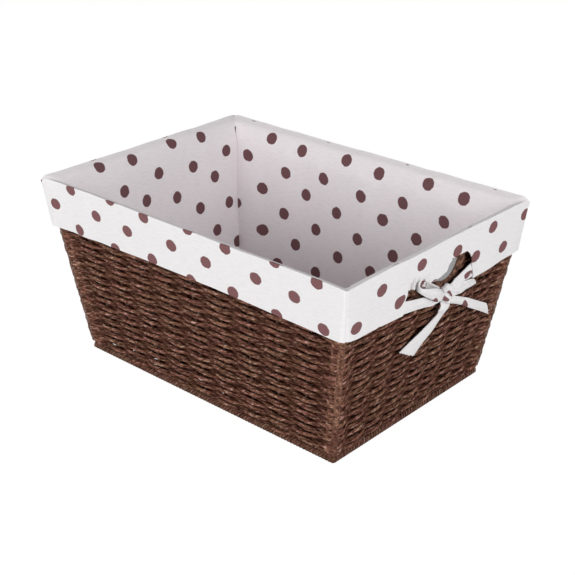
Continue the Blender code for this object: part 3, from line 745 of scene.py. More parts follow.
def cotton_material(name, liner, cuff_share=None, wrong_side_in_painted_shade=False):
    """Plain woven cotton with printed spots, read from the cloth's own flat places.

    Cuff share says how far it looks like the cuff's outside; None reads it from the panel.
    """
    material, tree, shader = start_material(name, 0.85, 0.15)
    place = uv_source(tree)
    # The wrong side is unprinted and darkened with painted shade
    shade = WRONG_SIDE_PAINTED_SHADE if wrong_side_in_painted_shade else 1.0
    lint = scaled_noise(tree, place, (110.0, 800.0, 1.0), 4.0, 0.65)
    cloth = colour_ramp(tree, lint, (0.32, tinted(liner.cloth_colour, 0.91 * shade)),
                        (0.52, tinted(liner.cloth_colour, 0.985 * shade)),
                        (0.70, tinted(liner.cloth_colour, shade)))
    on_cuff = cuff_share
    if cuff_share is None:
        on_cuff = add_node(tree, "Attribute", attribute_name="cuff").outputs["Fac"]
        # The inner side takes the painted pink tint of the shade inside the basket
        inner = multiplied(tree, cloth, tuple(liner.inner_shade_tint))
        cloth = mix_colour(tree, on_cuff, inner, cloth)
    if not wrong_side_in_painted_shade:
        ink = mix_colour(tree, on_cuff, tuple(liner.spot_colour), tuple(liner.cuff_spot_colour))
        worn = colour_ramp(tree, scaled_noise(tree, place, (900.0, 1100.0, 1.0), 3.0, 0.7),
                           (0.35, (0.80, 0.78, 0.78)), (0.62, (1.15, 1.15, 1.15)),
                           (0.78, (1.9, 1.9, 1.9)))
        cloth = mix_colour(tree, spot_mask(tree, place, liner.spot_diameter), cloth,
                           multiplied(tree, ink, worn))
    tree.links.new(cloth, shader.inputs["Base Color"])
    threads = scaled_noise(tree, place, (1500.0, 1500.0, 1.0), 1.0)
    add_bump(tree, shader, threads, 0.00025, 0.35)
    return material


# Rope pieces


def hole_half_width(height):
    """Half the distance between the ropes' ends beside the hand hole at a height."""
    reach = 0.0226 if height < 0.139 else 0.0208
    if height >= HOLE_BEND_HEIGHT:
        return HOLE_BEND_PLACE + reach
    below = HOLE_BEND_HEIGHT - height
    if below >= reach:
        return 0.0
    return HOLE_BEND_PLACE + math.sqrt(reach**2 - below**2)


def row_shells(row, rope, profile):
    """The woven rope of one row: a closed ring, or two lengths where the hand holes cut it."""
    pitch = (WALL_TOP - WALL_BOTTOM) / rope.rows
    height = WALL_BOTTOM + pitch * (row + 0.5)
    places, facings, shares, corner, gaps = round_the_wall(height, ROW_CORNER)
    total = path_length(places)
    cut = hole_half_width(height)
    closed = cut == 0.0
    spans = [(0.0, total)] if closed else [(cut, total / 2 - cut), (total / 2 + cut, total - cut)]
    for start, end in spans:
        steps = round((end - start) / (rope.lay / TURN_STEPS))
        if closed:
            steps = TURN_STEPS * round(steps / TURN_STEPS)
        travelled = start + np.arange(steps if closed else steps + 1) * (end - start) / steps
        spot, facing, share, near, gap = spaced_along(
            places, (places, facings, shares, corner, gaps), travelled)
        facing = unit(facing)

        # In front of one stake and behind the next, and close round the corner posts
        wave = np.cos(math.pi * gap / 2.0 * share) * (1.0 if row % 2 else -1.0)
        jitter = soft_noise(travelled, row * 1.0, 0.033, 1.0, 11)
        out = np.where(wave > 0.0, wave, INWARD_SHARE * wave) * rope.bulge * (1.0 + 0.12 * jitter)
        out *= np.where(gap < LONG_SIDE_GAPS, SHORT_SIDE_SHARE, 1.0)
        at_post = 1.0 - smooth_step(0.001, 0.013, near)
        out = out * (1.0 - at_post) + (OVER_POST if row % 2 else BEHIND_POST) * at_post
        if not closed:
            out *= smooth_step(0.0, 0.008, np.minimum(travelled - start, end - travelled))

        # Pressed flat against the stakes, and fuller where it shows
        press = np.abs(wave) * (1.0 - at_post)
        hidden = np.clip(-wave, 0.0, 1.0) * (1.0 - at_post)
        swell = 1.0 + 0.08 * soft_noise(travelled, row * 1.0, 0.0075, 1.0, 23)
        thick = (1.02 - 0.22 * press - 0.12 * hidden) * swell
        tall = 0.84 + 0.22 * smooth_step(0.05, 0.6, press) + 0.40 * hidden + 0.20 * at_post
        tall = tall * swell
        fill = 0.40 * (1.0 - smooth_step(0.1, 0.7, press)) + 0.5 * hidden
        rise = soft_noise(travelled, row * 1.0, 0.021, 1.0, 5) * rope.unevenness
        centres = np.column_stack([spot + facing * out[:, None], height + rise])
        outward = np.column_stack([facing, np.zeros(len(facing))])
        twist = np.arange(len(centres)) * 2.0 * math.pi / TURN_STEPS + row * 0.9
        yield rope_shell(centres, outward, twist, rope.diameter / 2, profile, thick, tall, closed,
                         fill)


def ring_places(offset, corner_radius, height, step):
    """A closed ring of places round the wall, with outward directions."""
    along = half_length(height) + offset
    deep = half_width(height) + offset
    places, facings, *_ = round_the_wall(height, corner_radius)
    grown = places * np.array([along / half_length(height), deep / half_width(height)])
    total = path_length(grown)
    steps = 18 * round(total / step / 18)
    spot, facing = spaced_along(grown, (grown, facings), np.arange(steps) * total / steps)
    flat = np.zeros(len(spot))
    return np.column_stack([spot, flat + height]), np.column_stack([unit(facing), flat])


def hole_border_points(side):
    """The hand hole border's centre line on the right (1) or left (-1) side."""
    flat = [(-HOLE_ARM_PLACE, WALL_TOP)]
    for step in range(HOLE_BEND_STEPS + 1):
        angle = math.pi * (1.0 + 0.5 * step / HOLE_BEND_STEPS)
        flat.append((-HOLE_BEND_PLACE + HOLE_BEND * math.cos(angle),
                     HOLE_BEND_HEIGHT + HOLE_BEND * math.sin(angle)))
    flat += [(-place, height) for place, height in reversed(flat)]
    return np.array([(side * half_length(height), place, height) for place, height in flat])


# Liner pieces


def notch_distance(s, z):
    """How far each place on the end cuff is from the notch's outline."""
    nearest = np.full(s.shape, 1.0)
    for start, end in zip(NOTCH_OUTLINE[:-1], NOTCH_OUTLINE[1:]):
        span = end - start
        share = ((s - start[0]) * span[0] + (z - start[1]) * span[1]) / (span @ span)
        share = np.clip(share, 0.0, 1.0)
        apart = np.hypot(s - start[0] - share * span[0], z - start[1] - share * span[1])
        nearest = np.minimum(nearest, apart)
    return nearest


def hem_heights(side, s, half_across):
    """Heights of the cuff's full hem, and of its edge with the notch for the hand hole cut out."""
    share = s / half_across
    hem = HEM_HEIGHT - (END_HEM_SAG if side in ENDS else LONG_HEM_SAG) * (1.0 - share**2)
    if side == "front":
        hem = hem + 0.0036 * (1.0 - share**2) ** 2 - 0.0004 * smooth_step(0.2, 1.0, share)
    if side == "right":
        hem = hem + 0.0004 * (1.0 - smooth_step(-1.0, -0.45, share))
    if side not in ENDS:
        return hem, hem
    return hem, np.maximum(hem, np.interp(s, *NOTCH_OUTLINE.T, left=0.0, right=0.0))


def panel_columns(is_end):
    """Where the panel's columns stand: a corner share from -1 to 1, and a straight share."""
    half_corner = np.linspace(0.0, 1.0, 5)
    if is_end:
        # Closer together round the notch
        straight = np.concatenate([np.linspace(-1.0, -0.46, 34)[:-1], np.linspace(-0.46, 0.46, 240),
                                   np.linspace(0.46, 1.0, 34)[1:]])
    else:
        straight = np.linspace(-1.0, 1.0, 170)
    bends = np.concatenate([half_corner[:-1] - 1.0, np.zeros(len(straight)), half_corner[1:]])
    return bends, np.concatenate([-np.ones(4), straight, np.ones(4)])


def panel_levels(side):
    """The panel before it sags, in rows from the liner floor over the rim to the hem.

    Gives each column's corner share, and at each point its place (across the side, out and up),
    how far down the cloth it is, and 1 on the cuff or 0 on the inner wall.
    """
    bends, shares = panel_columns(side in ENDS)
    across, out = by_side(side, half_length, half_width)
    rim_across, rim_out = across(RIM_HEIGHT), out(RIM_HEIGHT)

    def level(half_across, half_out, radius, height):
        angle = bends * math.pi / 4
        s = shares * (half_across - radius) + radius * np.sin(angle)
        n = half_out - radius + radius * np.cos(angle)
        return np.stack([s, n, height + np.zeros_like(s)], axis=1)

    rows = []
    foot = RIM_HEIGHT + RIM_PROFILE[0][1] * MM
    for share in np.linspace(0.0, 1.0, INNER_ROWS):
        height = PANEL_FOOT + (foot - PANEL_FOOT) * share
        places = level(across(height) - LINER_INSET, out(height) - LINER_INSET,
                       LINER_CORNER, height)
        drawn = 0.0006 * (1.0 - smooth_step(0.150, 0.166, height))
        rows.append((places, (foot - height) * CLOTH_SLACK + CLOTH_AT_FOOT + drawn, 0.0))
    over_rim = smooth_curve(np.array(RIM_PROFILE) * MM, ROLL_ROWS)
    for step, share in enumerate(np.linspace(0.0, 1.0, ROLL_ROWS)[1:], start=1):
        reach, rise = over_rim[step]
        places = level(rim_across + reach, rim_out + reach,
                       LINER_CORNER + (CREASE_CORNER - LINER_CORNER) * share, RIM_HEIGHT + rise)
        # The cuff's print runs on over the fold, down its inner slope
        if share > FOLD_PRINT_SHARE[side]:
            rows.append((places, -path_length(over_rim[step:]), 1.0))
        else:
            cloth = CLOTH_AT_FOOT - path_length(over_rim[:step + 1]) - 0.0012 * share
            rows.append((places, cloth, 0.0))
    hem_across, hem_out = by_side(side, HEM_HALF_LENGTH, HEM_HALF_WIDTH)
    start = level(rim_across + CREASE_REACH, rim_out + CREASE_REACH, CREASE_CORNER, CREASE_HEIGHT)
    hem_line = level(hem_across, hem_out, HEM_CORNER, HEM_HEIGHT)
    hem, edge = hem_heights(side, hem_line[:, 0], hem_across)
    for share in np.linspace(0.0, 1.0, CUFF_ROWS)[1:]:
        drop = (CREASE_HEIGHT - edge) * share
        places = start + (hem_line - start) * (drop / (CREASE_HEIGHT - hem))[:, None]
        places[:, 2] = CREASE_HEIGHT - drop
        rows.append((places, drop, 1.0))
    level_row = np.zeros(len(bends))
    return (bends, np.array([places for places, _, _ in rows]),
            np.array([cloth + level_row for _, cloth, _ in rows]),
            np.array([cuff + level_row for _, _, cuff in rows]))


def hang_panel(side, bends, grid, outer):
    """The panel's points with its slack, puckers, gathering and corners."""
    s, n, z = (grid[..., axis].copy() for axis in range(3))
    corner = SIDES.index(side)
    seed = 40 + corner
    hold = smooth_step(0.0, 0.016, by_side(side, HEM_HALF_LENGTH, HEM_HALF_WIDTH)[0] - np.abs(s))

    # At the back left corner the two walls' seam gapes a little below the rim
    if side in ("left", "back"):
        at_corner = s < 0.0 if side == "left" else s > 0.0
        gape = smooth_step(0.1500, 0.1600, z) * (1.0 - smooth_step(0.1735, 0.1780, z))
        n += np.abs(bends) * at_corner * gape * (1.0 - outer) * 0.0048

    # Slack in the inner wall: broad sags towards the middle of the basket
    depth = np.clip((RIM_HEIGHT - z) / RIM_HEIGHT, 0.0, 1.0) * (1.0 - outer)
    slack = 0.5 + 0.5 * soft_noise(s, z, 0.052, 0.085, seed)
    ripple = soft_noise(s, z, 0.014, 0.060, seed + 7)
    sag = 0.0034 * slack + 0.0009 * (1 + ripple)
    n -= hold * (1.0 - outer) * smooth_step(0.0, 0.10, depth) * sag

    # The cuff hangs a little loose, with soft puckers that run down from the fold
    fall = np.clip((CREASE_HEIGHT - z) / (CREASE_HEIGHT - HEM_HEIGHT), 0.0, 1.2) * outer
    pucker = soft_noise(s, z, 0.019, 0.070, seed + 13)
    billow = 0.5 + 0.5 * soft_noise(s, z, 0.060, 0.060, seed + 17)
    n += hold * outer * fall * (0.0008 * pucker + 0.0016 * billow)
    if side in ENDS:
        # Gathered beside the notch's near foot, and stitched along its far edge
        apart = notch_distance(s, z)
        gathered = outer * smooth_step(-0.050, -0.043, s) * (1.0 - smooth_step(-0.028, -0.014, s))
        gathered = gathered * (1.0 - smooth_step(0.002, 0.013, apart))
        n -= gathered * (0.0050 + 0.0028 * np.sin(2.0 * math.pi * s / 0.0070))
        stitched = outer * smooth_step(0.000, 0.008, s)
        n -= stitched * 0.0004 * bell(apart - 0.0046, 0.00045)
    crest = bell(z - CREASE_HEIGHT, 0.006)
    z += crest * hold * 0.0005 * soft_noise(s, n, 0.024, 0.05, seed + 19)

    # The cuff's corners stand out a little and are rounded off at the top
    from_end = np.abs(grid[:, -1:, 0]) - np.abs(grid[..., 0])
    push, dip = (np.where(s < 0.0, amounts[corner], amounts[(corner + 1) % 4])
                 for amounts in (CORNER_PUSH, CORNER_DIP))
    lift = np.maximum(outer, smooth_step(RIM_HEIGHT, CREASE_HEIGHT, z))
    push = push * lift * bell(from_end, 0.018)
    s, n = s + np.sign(s) * push, n + push
    z -= dip * bell(from_end, 0.0034) * smooth_step(CREASE_HEIGHT - 0.0075, CREASE_HEIGHT, z)
    return s, n, z


def panel_print(side, grid, s, z, down):
    """Flat places on the printed cloth as the inner wall and as the cuff has them.

    The inner wall is read from inside the basket, the cuff from outside.
    """
    half_rim = by_side(side, half_length, half_width)[0](RIM_HEIGHT)
    near_left = half_rim - LINER_INSET - grid[..., 0]
    inner_across, inner_down = near_left, down
    if side == "left":
        tuck = smooth_step(0.158, 0.166, z) * bell(s + half_rim, 0.008)
        inner_across = near_left * 1.05 + 0.0080 - 0.0080 * tuck
        inner_down = down + 0.0058
    if side == "back":
        # The printed cloth is drawn into the corner
        inner_across = near_left + 0.0125 * bell(near_left, 0.042) * (0.5 + 7.0 * down) \
            + 0.0060 * bell(near_left, 0.080) * smooth_step(0.085, 0.125, down) \
            + 0.0036 * (1.0 - smooth_step(0.012, 0.046, down))
    if side in ENDS:
        # Gathering beside the notch draws the print down and to the left
        drawn = bell(s + 0.062, 0.014) * smooth_step(0.016, 0.030, down)
        cuff_across = s + HEM_HALF_WIDTH - 0.064 * PHOTO_SCALE + 0.0010 - 0.034 * s + 0.0035 * drawn
        cuff_down = down / 0.86 + 0.019 * PHOTO_SCALE + 0.0030 \
            + 0.0028 * smooth_step(0.03, 0.12, s) - 0.0070 * drawn
    else:
        cuff_across = s + HEM_HALF_LENGTH - 0.0125 * PHOTO_SCALE + 0.0015 \
            - 0.0032 * bell(s - HEM_HALF_LENGTH, 0.006)
        cuff_down = down / 0.86 - 0.015 * PHOTO_SCALE + 0.0005
    return (np.stack([inner_across, inner_down], axis=-1).reshape(-1, 2),
            np.stack([cuff_across, cuff_down], axis=-1).reshape(-1, 2))


def liner_panel(side, thickness):
    """One wall of the liner in one sheet, with its flat width and length."""
    bends, grid, down, outer = panel_levels(side)
    s, n, z = hang_panel(side, bends, grid, outer)
    angle = SIDES.index(side) * math.pi / 2
    turn = np.array([[math.cos(angle), -math.sin(angle), 0.0],
                     [math.sin(angle), math.cos(angle), 0.0], [0.0, 0.0, 1.0]])
    points = np.stack([s, -n, z], axis=-1).reshape(-1, 3) @ turn.T
    quads = grid_faces(*s.shape)[2][:, ::-1]
    corners = quads.ravel()
    inner, cuff = panel_print(side, grid, s, z, down)
    on_cuff = np.repeat(outer[:-1, :-1].ravel() > 0.5, 4)[:, None]
    panel = make_piece("liner_panel_" + side, points, quads,
                       corner_uv=np.where(on_cuff, cuff[corners], inner[corners]))
    tint = panel.data.attributes.new("cuff", "FLOAT", "POINT")
    tint.data.foreach_set("value", outer.ravel().astype(np.float32))
    thicken(panel, thickness)
    panel.data.set_sharp_from_angle(angle=SHARP_CREASE)
    width = 2.0 * by_side(side, half_length, half_width)[0](RIM_HEIGHT)
    length = (RIM_HEIGHT - LINER_FLOOR) * CLOTH_SLACK + ROLL_RADIUS * math.pi \
        + RIM_HEIGHT - HEM_HEIGHT
    return panel, width, length


def liner_floor_sheet(thickness):
    """The liner's floor, laid on the mat with slight waves, with its flat length and width."""
    along = half_length(LINER_FLOOR) - LINER_INSET - 0.0004
    deep = half_width(LINER_FLOOR) - LINER_INSET - 0.0004
    columns, rows = FLOOR_SHEET_POINTS
    x, y = np.meshgrid(np.linspace(-along, along, columns), np.linspace(-deep, deep, rows),
                       indexing="ij")
    edge = smooth_step(0.0, 0.02, np.minimum(along - np.abs(x), deep - np.abs(y)))
    z = LINER_FLOOR + edge * 0.0014 * (1.0 + soft_noise(x, y, 0.04, 0.05, 71))
    points = np.stack([x, y, z], axis=-1).reshape(-1, 3)
    quads = other_way_round(grid_faces(columns, rows)[2])
    flat = np.stack([x + along, y + deep], axis=-1).reshape(-1, 2)
    piece = make_piece("liner_floor_sheet", points, quads, corner_uv=flat[quads.ravel()])
    thicken(piece, thickness)
    return piece, 2 * along, 2 * deep


# Bows

# Each strip's upper and lower edge, its cup and creases from the knot outwards in millimetres,
# and where its start was cut from the printed tile
BOW_STRIPS = {
    "near_loop": {
        "upper": ((5, 136, 9), (-13, 145.5, 12.5), (-25.5, 149.5, 12.5), (-32, 152, 10.5),
                  (-33, 156, 8), (-28, 158, 7.5), (-14, 149, 9), (1, 139.5, 9)),
        "lower": ((7, 124, 9.5), (-7, 130, 12.5), (-20.5, 138.3, 12.8), (-30, 145, 11),
                  (-32.5, 148, 7), (-27, 146, 5), (-13, 139, 5), (2, 131, 6)),
        "cup": (0.8, 2.2, 2.0, 0.8, 0.3, 0.6, 0.8, 0.5), "crease": (0.9, 0.5, 0.3, 0.3, 0.5, 0.7),
        "cut_at": (57.2, 45.5, -37.2)},
    "far_loop": {
        "upper": ((12, 134, 9), (33, 133.5, 11), (50, 130.8, 10.5), (60.5, 125.3, 8),
                  (49, 129, 6), (33, 131.5, 5.8), (14, 132, 7)),
        "lower": ((13, 126, 9), (28, 122, 10.5), (43, 121.8, 10.5), (59, 120.8, 8),
                  (44, 122, 6), (30, 123.5, 5.8), (15, 127, 7)),
        "cup": (0.5, 1.6, 1.2, 0.4, 0.5, 0.6, 0.5), "crease": (1.8, 1.7, 1.1, 0.5, 0.5, 0.6),
        "cut_at": (65.9, 39.0, -149.0)},
    "near_tail": {
        "upper": ((8, 125, 8.5), (4.2, 117, 10), (5.8, 109.8, 8.4), (-0.8, 104.4, 7.6),
                  (-13.3, 99.4, 7.2), (-28.4, 94.0, 7.0), (-41.0, 89.0, 7.0)),
        "lower": ((19, 124.5, 8.5), (20.6, 115, 10), (15.5, 107.3, 8.6), (10.0, 100.0, 7.8),
                  (3.6, 92.6, 7.4), (-7.2, 85.2, 7.2), (-17.6, 75.4, 7.0)),
        "cup": (0.8, 1.9, 1.0, 0.7, 0.5, 0.3), "crease": (0.6, 0.35, 0.3, 0.25, 0.2),
        "cut_at": (14.5, 11.5, -115.7), "frayed": True},
    "far_tail": {
        "upper": ((14, 128, 8), (27.8, 121.4, 9.8), (41.5, 115.0, 9.0), (55.8, 108.0, 8.0),
                  (76.0, 97.0, 7.2), (94.0, 87.3, 7.0)),
        "lower": ((14, 118.5, 8), (26.4, 114.2, 9.8), (42.0, 106.6, 9.0), (61.0, 95.6, 8.0),
                  (82.0, 84.0, 7.2), (102.3, 72.0, 7.0)),
        "cup": (1.0, 1.2, 0.8, 0.6, 0.4), "crease": (0.7, 0.35, 0.25, 0.2, 0.2),
        "cut_at": (74.0, 43.8, -120.2), "frayed": True},
    "turned_edge": {
        "upper": ((-18, 151.6, 7.4), (-9, 152.0, 7.4), (-2.5, 151.8, 7.4), (6.0, 154.4, 7.4),
                  (8.0, 161.0, 7.4), (13, 165.2, 7.4)),
        "lower": ((-16, 150.4, 6.8), (-5, 147.8, 6.2), (7.0, 144.6, 6.0), (15.8, 147.2, 6.0),
                  (20.2, 154.2, 6.2), (21.5, 162.0, 6.8)),
        "cup": (0.3, 0.5, 0.5, 0.3), "crease": (0.3, 0.4, 0.4, 0.3), "cut_at": (0.0, 0.0, 0.0)},
    "near_tie": {
        "upper": ((-60, 145, 7.2), (-51.5, 144.8, 8.2), (-38, 142.2, 8.8), (-24, 139.3, 9.4),
                  (-12, 133.0, 9.8), (2, 130, 8.5)),
        "lower": ((-62, 132.6, 7.2), (-50, 132.0, 8.2), (-31, 129.4, 8.8), (-18, 127.3, 9.4),
                  (-8, 125.4, 9.6), (4, 123.5, 8.5)),
        "cup": (0.2, 0.5, 0.8, 0.8, 0.4), "crease": (0.15, 0.2, 0.3, 0.5, 0.7),
        "cut_at": (36.2, 49.2, 130.7)},
    "far_tie": {
        "upper": ((62, 147.0, 8.2), (47, 147.8, 8.6), (32.5, 144.3, 8.8), (22, 139.0, 9.4),
                  (12, 132.5, 9)),
        "lower": ((64, 132.8, 8.2), (53, 132.4, 8.6), (37, 131.0, 8.8), (26, 129.6, 9.2),
                  (14, 127.0, 9)),
        "cup": (0.3, 0.6, 0.8, 0.5), "crease": (0.4, 1.3, 1.6, 1.6),
        "cut_at": (28.7, 61.6, -171.1), "gathered": 2.0},
}
# The least flat width of a strip, which the bows work out but do not use
LEAST_BAND_WIDTH = 0.0101

# The knot: its middle and half sizes, its points round and up, where it was cut from the tile,
# and how its folds slant across it
KNOT_PLACE = (0.0132, 0.1284)
KNOT_REACH = 0.0088
KNOT_SIZES = np.array([0.0052, 0.0083, 0.0103])
KNOT_RING, KNOT_ROWS = 56, 44
KNOT_CUT_AT = (54.0, 68.3)
KNOT_SLANT = (0.75, 0.65)


def end_place(point):
    """A place beside the right end, from millimetres: to the back, up, and out past the weave."""
    y, z, out = (value * MM for value in point)
    return (half_length(z) + out, y, z)


def ribbon(name, strip, seed):
    """A strip of cloth between two edges, creased along its length and cut off raggedly.

    Gives the strip with its flat length and width.
    """
    upper, lower = (smooth_curve([end_place(point) for point in strip[edge]], BAND_ALONG)
                    for edge in ("upper", "lower"))
    middle = (upper + lower) / 2.0
    half_span = (upper - lower) / 2.0
    along = np.gradient(middle, axis=0)
    face = unit(np.cross(half_span, along))
    if face[0, 0] < 0.0:
        face = -face
    spread = np.linspace(-1.0, 1.0, BAND_ACROSS)[None, :]
    share = np.linspace(0.0, 1.0, BAND_ALONG)
    bulge, crease = (np.interp(share, np.linspace(0.0, 1.0, len(strip[key])), strip[key]) * MM
                     for key in ("cup", "crease"))
    travelled = distances_along(middle)
    fold = soft_noise(travelled[:, None], spread, 0.028, 0.30, seed)
    fold = fold + 0.6 * soft_noise(travelled[:, None], spread, 0.012, 0.22, seed + 1)
    pinch = soft_noise(travelled[:, None], spread, 0.030, 0.26, seed + 2)
    fold = fold - 0.9 * np.clip(1.0 - np.abs(pinch) / 0.16, 0.0, 1.0)
    lift = bulge[:, None] * (1.0 - spread**2) + crease[:, None] * fold
    points = sweep(middle, half_span, face, spread, lift)
    if strip.get("frayed"):
        last = along[-1] / np.linalg.norm(along[-1])
        points[-1] += 0.0011 * soft_noise(spread[0], 0.0, 0.13, 1.0, seed + 5)[:, None] * last
    quads = grid_faces(BAND_ALONG, BAND_ACROSS)[2][:, ::-1]

    # Flat places, turned and moved to where the strip was cut from the print
    half_width_here = np.linalg.norm(half_span, axis=1)
    flat = np.stack([travelled[:, None] + np.zeros(BAND_ACROSS), -strip.get("gathered", 1.0)
                     * spread * half_width_here[:, None]], axis=-1).reshape(-1, 2)
    across, down, turn = strip["cut_at"]
    c, s = math.cos(math.radians(turn)), math.sin(math.radians(turn))
    flat = flat @ np.array([[c, s], [-s, c]]) + np.array([across, down]) * MM * PHOTO_SCALE
    piece = make_piece(name, points.reshape(-1, 3), quads, corner_uv=flat[quads.ravel()])
    thicken(piece, BAND_THICKNESS)
    return piece, float(travelled[-1]), float(2.0 * half_width_here.mean())


def turned_copy(piece, name):
    """The same piece on the left end, turned half round the basket's middle."""
    copy = piece.copy()
    copy.data = piece.data.copy()
    copy.name = copy.data.name = name
    copy.data.transform(Matrix.Rotation(math.pi, 4, "Z"))
    bpy.context.scene.collection.objects.link(copy)
    return copy


def bow_knot(name):
    """The wrapped knot: a rounded lump with folds that slant across it."""
    ring, rows = KNOT_RING, KNOT_ROWS
    up = np.linspace(0.0, math.pi, rows + 2)[1:-1]
    angle, turn = np.meshgrid(up, np.arange(ring) * 2.0 * math.pi / ring, indexing="ij")
    y, x, z = np.sin(angle) * np.cos(turn), np.sin(angle) * np.sin(turn), np.cos(angle)
    slant = z * KNOT_SLANT[0] + y * KNOT_SLANT[1]
    reach = 1.0 + np.sin(angle) * (0.14 * np.sin(9.5 * slant + 0.6)
                                   + 0.08 * soft_noise(slant, y, 0.22, 0.6, 9))
    middle = np.array([half_length(0.1285) + KNOT_REACH, *KNOT_PLACE])
    body = middle + KNOT_SIZES * np.stack([x * reach, y * reach, z * reach], axis=-1)
    top, bottom = middle + KNOT_SIZES * (0, 0, 1), middle - KNOT_SIZES * (0, 0, 1)
    points = np.vstack([body.reshape(-1, 3), top, bottom])
    quads = other_way_round(grid_faces(rows, ring, False, True)[2])
    first, last = rows * ring, rows * ring + 1
    caps = []
    for place in range(ring):
        following = (place + 1) % ring
        caps.append([first, place, following])
        caps.append([last, (rows - 1) * ring + following, (rows - 1) * ring + place])
    piece = make_piece(name, points, quads, caps)
    across, rise = points[:, 1] - middle[1], points[:, 2] - middle[2]
    flat = np.stack([(0.55 * across - 0.84 * rise) * 1.3, (0.84 * across + 0.55 * rise) * 1.3],
                    axis=-1) + np.array(KNOT_CUT_AT) * MM * PHOTO_SCALE
    # One turn of the knot shows a plain part of the cloth
    level = rise / KNOT_SIZES[2] * KNOT_SLANT[0] + across / KNOT_SIZES[1] * KNOT_SLANT[1]
    flat[:, 1] += np.where((level > -0.30) & (level < -0.08), 0.024, 0.0)
    layer = piece.data.uv_layers.new(name="cloth")
    for loop in piece.data.loops:
        layer.data[loop.index].uv = flat[loop.vertex_index]
    return piece


# Operators


class BuildPiece:
    """What every operator here shares."""

    bl_options = {"REGISTER", "UNDO"}

    def execute(self, context):
        if context.mode != "OBJECT":
            raise RuntimeError("The basket is built in object mode")
        self.build(context.scene)
        return {"FINISHED"}


class BASKET_OT_weave(BuildPiece, bpy.types.Operator):
    """Weave the wall's rows of rope"""

    bl_idname = "basket.weave"
    bl_label = "Weave the wall"

    def build(self, scene):
        rope = scene.basket_rope
        material = rope_material("paper rope", rope, math.pi * rope.diameter / 2, woven=True)
        profile = ply_profile(2, 6, 0.46)
        for part in range(ROW_BUNDLES):
            bundle = Bundle()
            first = rope.rows * part // ROW_BUNDLES
            last = rope.rows * (part + 1) // ROW_BUNDLES
            for row in range(first, last):
                for shell in row_shells(row, rope, profile):
                    bundle.add(shell, (row * 1.37, 0.0))
            dress(bundle.piece(f"woven_rows_{first + 1}_to_{last}"), material, "dark_rope",
                  "woven_wall")


class BASKET_OT_mat(BuildPiece, bpy.types.Operator):
    """Weave the floor mat"""

    bl_idname = "basket.mat"
    bl_label = "Weave the floor mat"

    def build(self, scene):
        rope = scene.basket_rope
        material = rope_material("mat rope", rope, math.pi * MAT_ROPE_RADIUS, 0.95)
        profile = ply_profile(2, 4, 0.62)
        bundle = Bundle()
        for row in range(MAT_ROWS):
            x = np.linspace(-MAT_HALF_LENGTH, MAT_HALF_LENGTH, 150)
            y = -MAT_HALF_WIDTH + 2.0 * MAT_HALF_WIDTH * (row + 0.5) / MAT_ROWS
            wave = np.cos(math.pi * 5.0 * x / HALF_LENGTH_AT_BASE) * (1.0 if row % 2 else -1.0)
            centres = np.column_stack([x, y + 0.0003 * wave, MAT_HEIGHT + 0.0014 * wave])
            outward = np.tile((0.0, 0.0, 1.0), (len(x), 1))
            twist = np.arange(len(x)) * math.pi / 4 + row
            ones = np.ones(len(x))
            bundle.add(rope_shell(centres, outward, twist, MAT_ROPE_RADIUS, profile,
                                  0.62 * ones, 0.98 * ones, False), (row * 1.11, 0.3))
        dress(bundle.piece("floor_mat_rows"), material, "dark_rope", "floor_mat")


class BASKET_OT_borders(BuildPiece, bpy.types.Operator):
    """Wind the base and the rim with rope"""

    bl_idname = "basket.borders"
    bl_label = "Wind the base and rim"

    def build(self, scene):
        profile = ply_profile(3, 6, 0.84)
        material = rope_material("border rope", scene.basket_rope,
                                 2 * math.pi * BORDER_ROPE_RADIUS / 3, 0.95)
        for name, rings, node in (("base_border", BASE_RINGS, "base_wrap"),
                                  ("rim_border", RIM_RINGS, "rim_wrap")):
            bundle = Bundle()
            for place, radius, pressed, shift in rings:
                centres, outward = ring_places(*place)
                twist = np.arange(len(centres)) * math.pi / 9
                ones = np.ones(len(centres))
                bundle.add(rope_shell(centres, outward, twist, radius, profile, pressed * ones,
                                      ones, True), (shift, 0.0))
            dress(bundle.piece(name), material, "dark_rope", node)


class BASKET_OT_corner_posts(BuildPiece, bpy.types.Operator):
    """Wind the four corner posts"""

    bl_idname = "basket.corner_posts"
    bl_label = "Wind the corner posts"

    def build(self, scene):
        rope = scene.basket_rope
        light_post = wrap_material(
            "post cord", (0.036, 0.011, 0.006), (0.148, 0.060, 0.034), (0.36, 0.190, 0.125),
            POST_CORD, 0.8, POST_FOOT)
        dark_post = wrap_material(
            "dark post cord", tuple(rope.dark_colour), tuple(rope.colour),
            tinted(rope.light_colour, 0.55), POST_CORD, 0.8)
        for name, x_sign, y_sign in (
                ("front_left", -1, -1), ("front_right", 1, -1),
                ("back_right", 1, 1), ("back_left", -1, 1)):
            centres = np.array([
                (x_sign * (half_length(h) + POST_REACH), y_sign * (half_width(h) + POST_REACH), h)
                for h in np.linspace(POST_BOTTOM, POST_TOP, POST_POINTS)])
            outward = np.tile((x_sign * 1.0, 0.0, 0.0), (POST_POINTS, 1))
            bundle = Bundle()
            bundle.add(wound_tube(centres, outward, **POST_WINDING))
            material = light_post if name == "front_right" else dark_post
            dress(bundle.piece("corner_post_wrap_" + name), material,
                  "brown_wrap", "corner_wrap_" + name)


